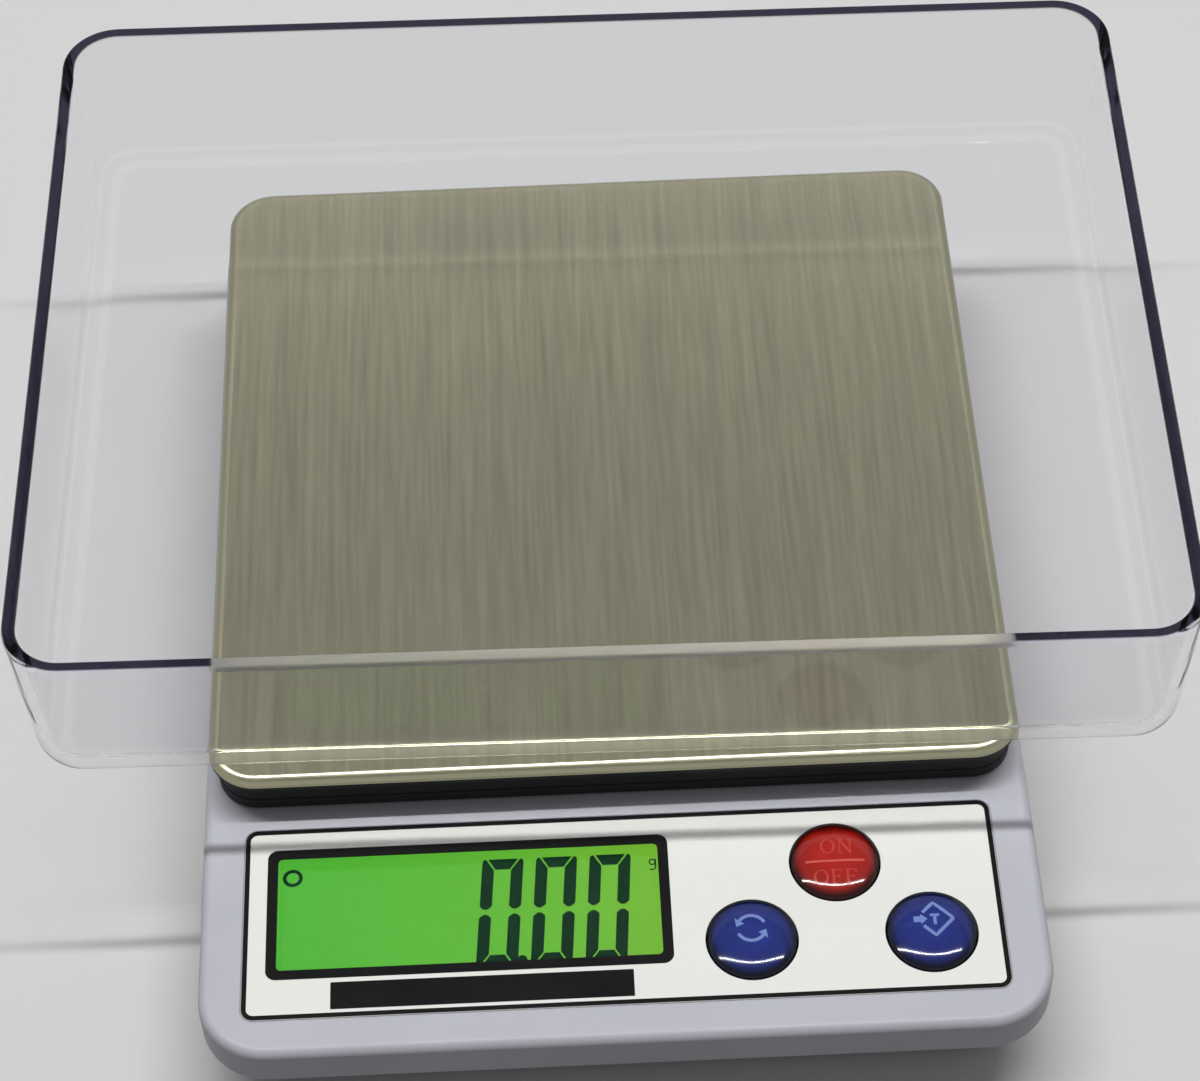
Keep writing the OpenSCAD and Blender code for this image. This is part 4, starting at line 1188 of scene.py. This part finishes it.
def digit_segments(sizes, lit):
    """Outlines of the lit segments of one digit, centred, leaning right.

    A bar is a trapezium whose ends follow the digit's corners at 45 degrees; an upright is mitred at the
    same corner and comes to a short point at mid-height. A small gap is left between them.
    """
    w, h, bar, up = sizes.digit_w / 2, sizes.digit_h / 2, sizes.bar, sizes.upright
    gap = 0.17 * MM
    tip = 0.55 * MM
    mid = 0.42 * MM
    turn = 0.75 * MM
    top = np.array([
        (-w + turn + 0.35 * MM, h), (w - turn - 0.35 * MM, h), (w - turn + 0.05 * MM, h - 0.2 * MM),
        (w - turn + 0.12 * MM, h - 0.55 * MM), (w - up - gap, h - bar), (-w + up + gap, h - bar),
        (-w + turn - 0.12 * MM, h - 0.55 * MM), (-w + turn - 0.05 * MM, h - 0.2 * MM),
    ])
    right = np.array([
        (w - 0.45 * MM, h - 0.8 * MM), (w - 0.12 * MM, h - 1.05 * MM), (w, h - 1.45 * MM), (w, mid + tip),
        (w - up * 0.35, mid), (w - up * 0.65, mid), (w - up, mid + tip), (w - up, h - bar - gap * 0.8),
    ])
    flip_x, flip_y = np.array([-1.0, 1.0]), np.array([1.0, -1.0])
    shapes = {
        "a": top, "d": top * flip_y, "b": right, "c": right * flip_y,
        "f": right * flip_x, "e": right * flip_x * flip_y,
    }
    lean = np.array([[1.0, 0.0], [sizes.slant, 1.0]])
    return [shapes[key] @ lean for key in lit]


class ScaleDisplay(Operator):
    """Window with its dark border, lit glass, a frame that glows as painted light, and digits"""

    bl_idname = "digital_scale.display"
    bl_label = "Display"

    def execute(self, context):
        sizes = context.scene.scale_display
        low, high = float(WINDOW_LO[2]), float(WINDOW_HI[2])
        path = rounded_path(WINDOW_LO, WINDOW_HI, sizes.corner, 8)
        lip = 0.12 * MM
        window = Shell()
        profile = np.concatenate([
            [(-lip - FLAT_EDGE, low), (-lip, low), (0.0, low + lip), (0.0, high - lip)],
            arc((-lip, high - lip), lip, 0, 90, 3)[1:], [(-lip - FLAT_EDGE, high)],
        ])
        window.solid(carry(profile, path))
        window.build("display_window", ["window"], BASE, ["lcd_window"])

        border = Shell()
        outer = loop_at(path, 0.07 * MM)
        inner = loop_at(rounded_path(WINDOW_LO + sizes.border, WINDOW_HI - sizes.border, 0.7 * MM, 8))
        deep, raised = high - 4 * PRINT, high + PRINT
        rows = ((outer, deep), (outer, raised), (inner, raised), (inner, deep))
        border.grid(np.stack([to_height(loop, level) for loop, level in rows]), over=True)
        border.build("display_border", ["ink"], BASE)

        glass = Shell()
        face = rounded_path(GLASS_LO, GLASS_HI, 0.4 * MM, 3)
        bottom, top, lip = float(GLASS_LO[2]), float(GLASS_HI[2]), 0.1 * MM
        profile = [
            (-lip - FLAT_EDGE, bottom), (-lip, bottom), (0.0, bottom + lip),
            (0.0, top - lip), (-lip, top), (-lip - FLAT_EDGE, top),
        ]
        glass.solid(carry(profile, face))
        glass.build("display_glass", ["lit"], BASE, ["lcd_glass"])

        # The surround glows like the lit glass where the opening's inner wall is: painted light, as it is no
        # lamp.
        surround = Shell()
        surround.ring(path, -sizes.border, -0.05 * MM, top, low - 0.02 * MM)
        surround.build("display_surround", ["lit"], BASE)

        def level(points):
            """Height of the glass at each point."""
            return np.full(len(points), top)

        digits = Shell()
        printed = (top - PRINT, top + PRINT)
        centre = middle_of("lcd_window")
        for place in range(3):
            middle = centre + np.array([sizes.first_x + place * sizes.pitch, sizes.middle_y])
            for outline in digit_segments(sizes, "abcdef"):
                digits.slab(outline + middle, *printed)
        low_end = sizes.middle_y - sizes.digit_h / 2
        point = centre + np.array([sizes.first_x + 3.0 * MM, low_end + 1.65 * MM])
        digits.slab(loop_at(circle_path(point, 24), 0.72 * MM), *printed)
        zero = circle_path(centre + np.array([sizes.circle_x, sizes.circle_y]), 40)
        digits.ring(zero, 0.9 * MM, 1.45 * MM, *printed)
        angle = np.arange(24) * (2 * np.pi / 24)
        unit = centre + np.array([sizes.unit_x, sizes.unit_y])
        bowl = np.stack([0.42 * np.cos(angle), 0.45 * np.sin(angle) + 0.35], axis=1)
        tail = np.array([(0.45, 0.85), (0.45, -0.55), (0.3, -0.85), (-0.05, -0.95), (-0.4, -0.85)])
        digits.ribbon(bowl * MM + unit, 0.2 * MM, level, closed=True)
        digits.ribbon(tail * MM + unit, 0.2 * MM, level)
        digits.build("display_digits", ["digits"], BASE)
        return {"FINISHED"}


def dome_height(sizes, node):
    """Height of a button's face at flat points: top - rise * (r / R) ** swell."""
    middle, radius, top = middle_of(node), key_radius(node), float(node_box(node)[1][2])
    rise = top - DECK - 0.1 * MM

    def height(points):
        """Heights of the face at these points."""
        far = np.linalg.norm(np.asarray(points) - middle, axis=-1) / radius
        return top - rise * np.clip(far, 0.0, 1.0) ** sizes.swell

    return height


class ScaleKeys(Operator):
    """Three domed buttons and the marks on them"""

    bl_idname = "digital_scale.keys"
    bl_label = "Buttons"

    def execute(self, context):
        inks = ["red_mark", "red_word"]
        self.button("power_button", "power_key", "red", "red_gloss", self.power_marks, inks)
        self.button("mode_button", "mode_key", "blue", "blue_gloss", self.mode_marks, ["blue_mark"])
        self.button("tare_button", "tare_key", "blue", "blue_gloss", self.tare_marks, ["blue_mark"])
        return {"FINISHED"}

    def button(self, node, body, finish, slot, marks, inks):
        """One button, turned about its own middle, with marks on its dome."""
        sizes = bpy.context.scene.scale_keys
        middle, radius = middle_of(node), key_radius(node)
        height = dome_height(sizes, node)
        flange_top = DECK_UNDER - sizes.gap
        flange_low = flange_top - sizes.flange_t
        flange = radius + sizes.flange_w
        edge, stem, soft, base = sizes.edge, sizes.stem, 0.2 * MM, float(node_box(node)[0][2])
        reach = np.linspace(0.0, radius - edge * 0.6, 40)
        crown = np.stack([reach, height(middle + np.stack([reach, 0 * reach], axis=1))], axis=1)
        fall = crown[-2] - crown[-1]
        lean = np.arctan2(-fall[0], fall[1])
        centre = crown[-1] - edge * np.array([np.cos(lean), np.sin(lean)])
        round_off = arc(centre, edge, np.degrees(lean), 0, 6)[1:]
        under = [
            (radius, flange_top), (flange - soft, flange_top), (flange, flange_top - soft),
            (flange, flange_low), (stem, flange_low), (stem, base + soft), (stem - soft, base), (0.0, base),
        ]
        shell = Shell()
        shell.grid(carry(np.concatenate([crown, round_off, under]), circle_path(middle)))
        piece = shell.build(node + "_cap", [finish], body, [node], 50)
        # The rim value is measured from a point a little behind the middle, so the buttons' painted shade is
        # widest at the front.
        back = middle + np.array([0.0, 0.03 * radius])
        paint(piece, "rim", lambda points: np.linalg.norm(points[:, :2] - back, axis=1) / radius)
        ink = Shell()
        marks(ink, middle, height)
        ink.build(node + "_marks", inks, body)

    def power_marks(self, ink, middle, height):
        """A line across, ON above it and OFF below it."""
        line = np.linspace((-4.2, -0.35), (4.2, -0.35), 24) * MM + middle
        ink.ribbon(line, 0.34 * MM, height)
        self.word(ink, "ON", middle + np.array([0.3, 2.1]) * MM, 2.5 * MM, height, 1)
        self.word(ink, "OFF", middle + np.array([-0.15, -3.0]) * MM, 2.5 * MM, height, 1)

    def word(self, ink, letters, middle, size, height, finish):
        """Letters with thin and thick strokes: O is an oval, N and F are straight strokes with feet."""
        advance = {"O": 1.0, "N": 1.0, "F": 0.82}
        widths = np.array([advance[letter] for letter in letters])
        left = np.cumsum(widths) - widths / 2 - widths.sum() / 2
        thin, thick = 0.07 * size, 0.15 * size
        for letter, place in zip(letters, left):
            at = middle + np.array([place * size, 0.0])
            if letter == "O":
                angle = np.arange(28) * (2 * np.pi / 28)
                oval = np.stack([0.36 * np.cos(angle), 0.46 * np.sin(angle)], axis=1) * size + at
                ink.ribbon(oval, thin + (thick - thin) * np.cos(angle) ** 2, height, finish, closed=True)
                continue
            for (x0, y0, x1, y1, heavy) in LETTER_STROKES[letter]:
                ends = np.array([(x0, y0), (x1, y1)]) * size + at
                ink.ribbon(np.linspace(*ends, 6), thick if heavy else thin, height, finish)

    def mode_marks(self, ink, middle, height):
        """Two arrows that follow each other round a circle."""
        centre = middle + np.array([-0.05, 1.35]) * MM
        for start in (25.0, 205.0):
            angle = np.radians(np.linspace(start, start + 118.0, 16))
            way = np.stack([np.cos(angle), np.sin(angle)], axis=1)
            ink.ribbon(centre + way * 2.05 * MM, 0.5 * MM, height)
            tip = angle[-1] + 0.52
            head = np.array([
                [np.cos(angle[-1]) * 2.85, np.sin(angle[-1]) * 2.85],
                [np.cos(tip) * 2.1, np.sin(tip) * 2.1],
                [np.cos(angle[-1]) * 1.2, np.sin(angle[-1]) * 1.2],
            ]) * MM + centre
            ink.slab(head, height(head) - PRINT, height(head) + PRINT)

    def tare_marks(self, ink, middle, height):
        """An open square on its corner, with an arrow that points into it from the left and a small T."""
        centre = middle + np.array([0.45, 1.55]) * MM
        reach = 2.7 * MM
        gap = 0.60
        for sign in (1.0, -1.0):
            corners = np.array([(-gap, sign * (1 - gap)), (0.0, sign), (1.0, 0.0)]) * reach + centre
            run = [np.linspace(*corners[:2], 6)[:-1], np.linspace(*corners[1:], 10)]
            ink.ribbon(np.concatenate(run), 0.5 * MM, height)
        head = np.array([(-1.95, 0.85), (-1.0, 0.0), (-1.95, -0.85)]) * MM + centre
        ink.slab(head, height(head) - PRINT, height(head) + PRINT)
        for start, end, width in (
            ((-2.95, 0.0), (-1.95, 0.0), 0.95),
            ((-0.6, 0.6), (0.7, 0.6), 0.42),
            ((0.05, 0.6), (0.05, -0.95), 0.45),
        ):
            ink.ribbon(np.linspace(start, end, 6) * MM + centre, width * MM, height)


LETTER_STROKES = {
    "N": [
        (-0.3, -0.5, -0.3, 0.5, False), (0.3, -0.5, 0.3, 0.5, False), (-0.3, 0.46, 0.3, -0.46, True),
        (-0.46, 0.47, -0.16, 0.47, False), (-0.44, -0.47, -0.16, -0.47, False),
        (0.14, 0.47, 0.44, 0.47, False),
    ],
    "F": [
        (-0.2, -0.5, -0.2, 0.5, True), (-0.34, 0.46, 0.28, 0.46, False), (-0.34, -0.47, 0.0, -0.47, False),
        (-0.2, 0.02, 0.14, 0.02, False), (0.28, 0.5, 0.28, 0.24, False), (0.14, 0.14, 0.14, -0.1, False),
    ],
}


class ScalePlatform(Operator):
    """Brushed steel plate with a rounded, turned-down edge, painted shade in black below the steel that
    shows, and a black trim that carries painted shade below the support
    """

    bl_idname = "digital_scale.platform"
    bl_label = "Platform"

    def execute(self, context):
        sizes = context.scene.scale_platform
        path = rounded_path(PLATE_LO, PLATE_HI, sizes.corner, 14)
        low, high = float(PLATE_LO[2]), float(PLATE_HI[2])
        edge, reach, sheet = sizes.edge, sizes.reach, sizes.sheet
        shoulder = arc((0.0, 0.0), 1.0, 90, 12, 12) * (reach, edge) + (-reach, high - edge)
        fold, soft = 0.2 * MM, 0.3 * MM
        profile = np.concatenate([[(-reach - FLAT_EDGE, high)], shoulder, [(0.0, high - sizes.show)]])
        # The plate's lower side below the steel that shows, and its underside, take the black finish:
        # painted shade where the steel lies in shade.
        under = np.concatenate([
            [(0.0, high - sizes.show), (0.0, low + fold)],
            arc((-fold, low + fold), fold, 0, -90, 3)[1:],
            [(-sheet + 0.05 * MM, low), (-sheet, low + 0.1 * MM), (-sheet, high - sheet - soft)],
            arc((-sheet - soft, high - sheet - soft), soft, 0, 90, 3)[1:],
            [(-sheet - soft - FLAT_EDGE, high - sheet)],
        ])
        shell = Shell()
        top, bottom = carry(profile, path), carry(under, path)
        shell.grid(top)
        shell.grid(bottom, 1)
        shell.cap(top[0])
        shell.cap(bottom[-1])
        shell.build("platform_steel", ["steel", "black"], "platform", ["platform_plate"])

        # The black trim is a skirt on the black support that reaches below it: painted shade over the gap to
        # the deck.
        support_lo, support_hi = node_box("platform_support")
        inset = float(PLATE_HI[0] - support_hi[0])
        skirt = rounded_path(support_lo, support_hi, sizes.corner - inset, 14)
        end = float(support_lo[2])
        trim = Shell()
        trim.ring(skirt, -1.7 * MM, 0.1 * MM, end - sizes.painted_shade_drop, end + 1.2 * MM)
        trim.build("platform_trim_painted_shade", ["black"], "platform")
        return {"FINISHED"}


class ScaleTray(Operator):
    """Clear tray: flat floor, rounded foot, leaning walls and a rim with rounded edges"""

    bl_idname = "digital_scale.tray"
    bl_label = "Tray"

    def execute(self, context):
        sizes = context.scene.scale_tray
        middle = middle_of("weighing_tray")
        half = np.array([sizes.width, sizes.depth]) / 2
        path = turned_path(rounded_path(middle - half, middle + half, sizes.corner, 14), sizes.turn, middle)
        low, high = float(TRAY_LO[2]) + 0.02 * MM, float(TRAY_HI[2])
        foot, draft, wall, edge = sizes.foot, sizes.draft, sizes.wall, sizes.rim
        floor = low + sizes.floor
        inner = foot - wall * 0.55
        top = high - 0.9 * MM
        outside = np.concatenate([
            [(-draft - foot - FLAT_EDGE, low)],
            arc((-draft - foot, low + foot), foot, -90, -4, 10),
            [(-0.04 * MM, top)],
        ])
        rim = np.concatenate([
            [(-0.04 * MM, top)],
            arc((-edge, high - edge), edge, 0, 90, 5),
            [(-wall / 2, high)],
            arc((-wall + edge, high - edge), edge, 90, 180, 5),
            [(-wall, top)],
        ])
        inside = np.concatenate([
            [(-wall, top)],
            arc((-draft - wall - inner, floor + inner), inner, 0, -90, 8),
            [(-draft - wall - inner - FLAT_EDGE, floor)],
        ])
        shell = Shell()
        below, above = carry(outside, path), carry(inside, path)
        shell.grid(below)
        shell.cap(below[0])
        shell.grid(carry(rim, path), 1)
        shell.grid(above)
        shell.cap(above[-1])
        piece = shell.build("tray_body", ["clear", "rim"], "tray", ["weighing_tray"], 30)

        def inset(points):
            """Distance inwards from the tray's outline, also round its corners."""
            beyond = np.abs((points[:, :2] - middle) @ turning(-sizes.turn)) - half + sizes.corner
            outward = np.linalg.norm(np.maximum(beyond, 0.0), axis=1) + np.minimum(beyond.max(axis=1), 0.0)
            return sizes.corner - outward

        # The inset places the rim's painted shade and its painted fringe.
        paint(piece, "inset", inset)
        return {"FINISHED"}


class ScaleFeet(Operator):
    """Four turned rubber feet"""

    bl_idname = "digital_scale.feet"
    bl_label = "Feet"

    def execute(self, context):
        lo, hi = node_box("rubber_feet")
        radius = 5 * MM
        low, high = float(lo[2]), float(hi[2])
        profile = np.concatenate([
            [(0.0, low + 0.35 * MM), (radius - 2.6 * MM, low + 0.3 * MM)],
            [(radius - 1.9 * MM, low + 0.05 * MM), (radius - 1.5 * MM, low), (radius - 0.8 * MM, low)],
            arc((radius - 0.7 * MM, low + 0.6 * MM), 0.6 * MM, -80, 0, 6),
            [(radius, low + 1.6 * MM), (radius, high), (0.0, high)],
        ])
        shell = Shell()
        for point in corners_of("rubber_feet", radius):
            shell.grid(carry(profile, circle_path(point, 48)))
        shell.build("feet", ["rubber"], BASE, ["rubber_feet"])
        return {"FINISHED"}


class ScaleCells(Operator):
    """Two battery cells in printed sleeves, without words"""

    bl_idname = "digital_scale.cells"
    bl_label = "Battery cells"

    def execute(self, context):
        for node, side in (("battery_cell_front", 1.0), ("battery_cell_rear", -1.0)):
            lo, hi = node_box(node)
            middle = (lo + hi) / 2
            radius = float(hi[2] - lo[2]) / 2
            total = float(hi[0] - lo[0])
            shoulder, soft, dip, nub = total - 1.0 * MM, 0.5 * MM, 0.2 * MM, 1.9 * MM
            profile = np.concatenate([
                [(0.0, 0.15 * MM), (radius - 1.9 * MM, 0.15 * MM), (radius - 1.7 * MM, 0.0)],
                arc((radius - soft, soft), soft, -90, 0, 5),
                arc((radius - soft, shoulder - soft), soft, 0, 90, 5),
                [(radius - 1.5 * MM, shoulder), (radius - 1.6 * MM, shoulder - dip), (nub, shoulder - dip)],
                [(nub, total - dip), (nub - dip, total), (0.0, total)],
            ])
            shell = Shell()
            shell.grid(carry(profile, circle_path((0.0, 0.0), 48)))
            turn = Matrix.Rotation(side * np.pi / 2, 4, "Y")
            place = Matrix.Translation(middle.tolist()) @ turn @ Matrix.Translation((0, 0, -total / 2))
            piece = shell.build(node + "_sleeved", ["sleeve"], BASE, [node], 40, place)
            start = float(middle[0]) - side * total / 2
            paint(piece, "along", lambda points: (points[:, 0] - start) * side / total)
        return {"FINISHED"}


class ScaleInside(Operator):
    """Materials on the packed pieces that keep their own shape"""

    bl_idname = "digital_scale.inside"
    bl_label = "Other finishes"

    def execute(self, context):
        for finish, nodes in PACKED_NODES.items():
            for node in nodes:
                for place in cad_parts[node].material_slots:
                    place.material = finish_of(finish)
        return {"FINISHED"}


SETTINGS = {
    "scale_case": CaseSizes,
    "scale_panel": PanelSizes,
    "scale_display": DisplaySizes,
    "scale_keys": KeySizes,
    "scale_platform": PlatformSizes,
    "scale_tray": TraySizes,
}
OPERATORS = [
    ScaleStage, ScaleCaseTop, ScaleLowerCase, ScaleLabel, ScaleDisplay, ScaleKeys, ScalePlatform, ScaleTray,
    ScaleFeet, ScaleCells, ScaleInside,
]


class ScalePanel(Panel):
    """Settings and steps of the scale"""

    bl_idname = "SCALE_PT_finishes"
    bl_label = "Precision scale"
    bl_space_type = "VIEW_3D"
    bl_region_type = "UI"
    bl_category = "Scale"

    def draw(self, context):
        for name, group in SETTINGS.items():
            box = self.layout.box()
            box.label(text=group.__doc__)
            settings = getattr(context.scene, name)
            for key in group.__annotations__:
                box.prop(settings, key)
        for operator in OPERATORS:
            self.layout.operator(operator.bl_idname)


def register():
    """Registers the classes and hangs the settings on the scene."""
    for group in SETTINGS.values():
        bpy.utils.register_class(group)
    for name, group in SETTINGS.items():
        setattr(bpy.types.Scene, name, PointerProperty(type=group))
    for operator in OPERATORS:
        bpy.utils.register_class(operator)
    bpy.utils.register_class(ScalePanel)


def unregister():
    """Undoes register."""
    bpy.utils.unregister_class(ScalePanel)
    for operator in reversed(OPERATORS):
        bpy.utils.unregister_class(operator)
    for name, group in SETTINGS.items():
        delattr(bpy.types.Scene, name)
        bpy.utils.unregister_class(group)


def main():
    """Runs each step in order."""
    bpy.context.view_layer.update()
    register()
    for operator in OPERATORS:
        family, step = operator.bl_idname.split(".")
        getattr(getattr(bpy.ops, family), step)()


if __name__ == "__main__":
    main()
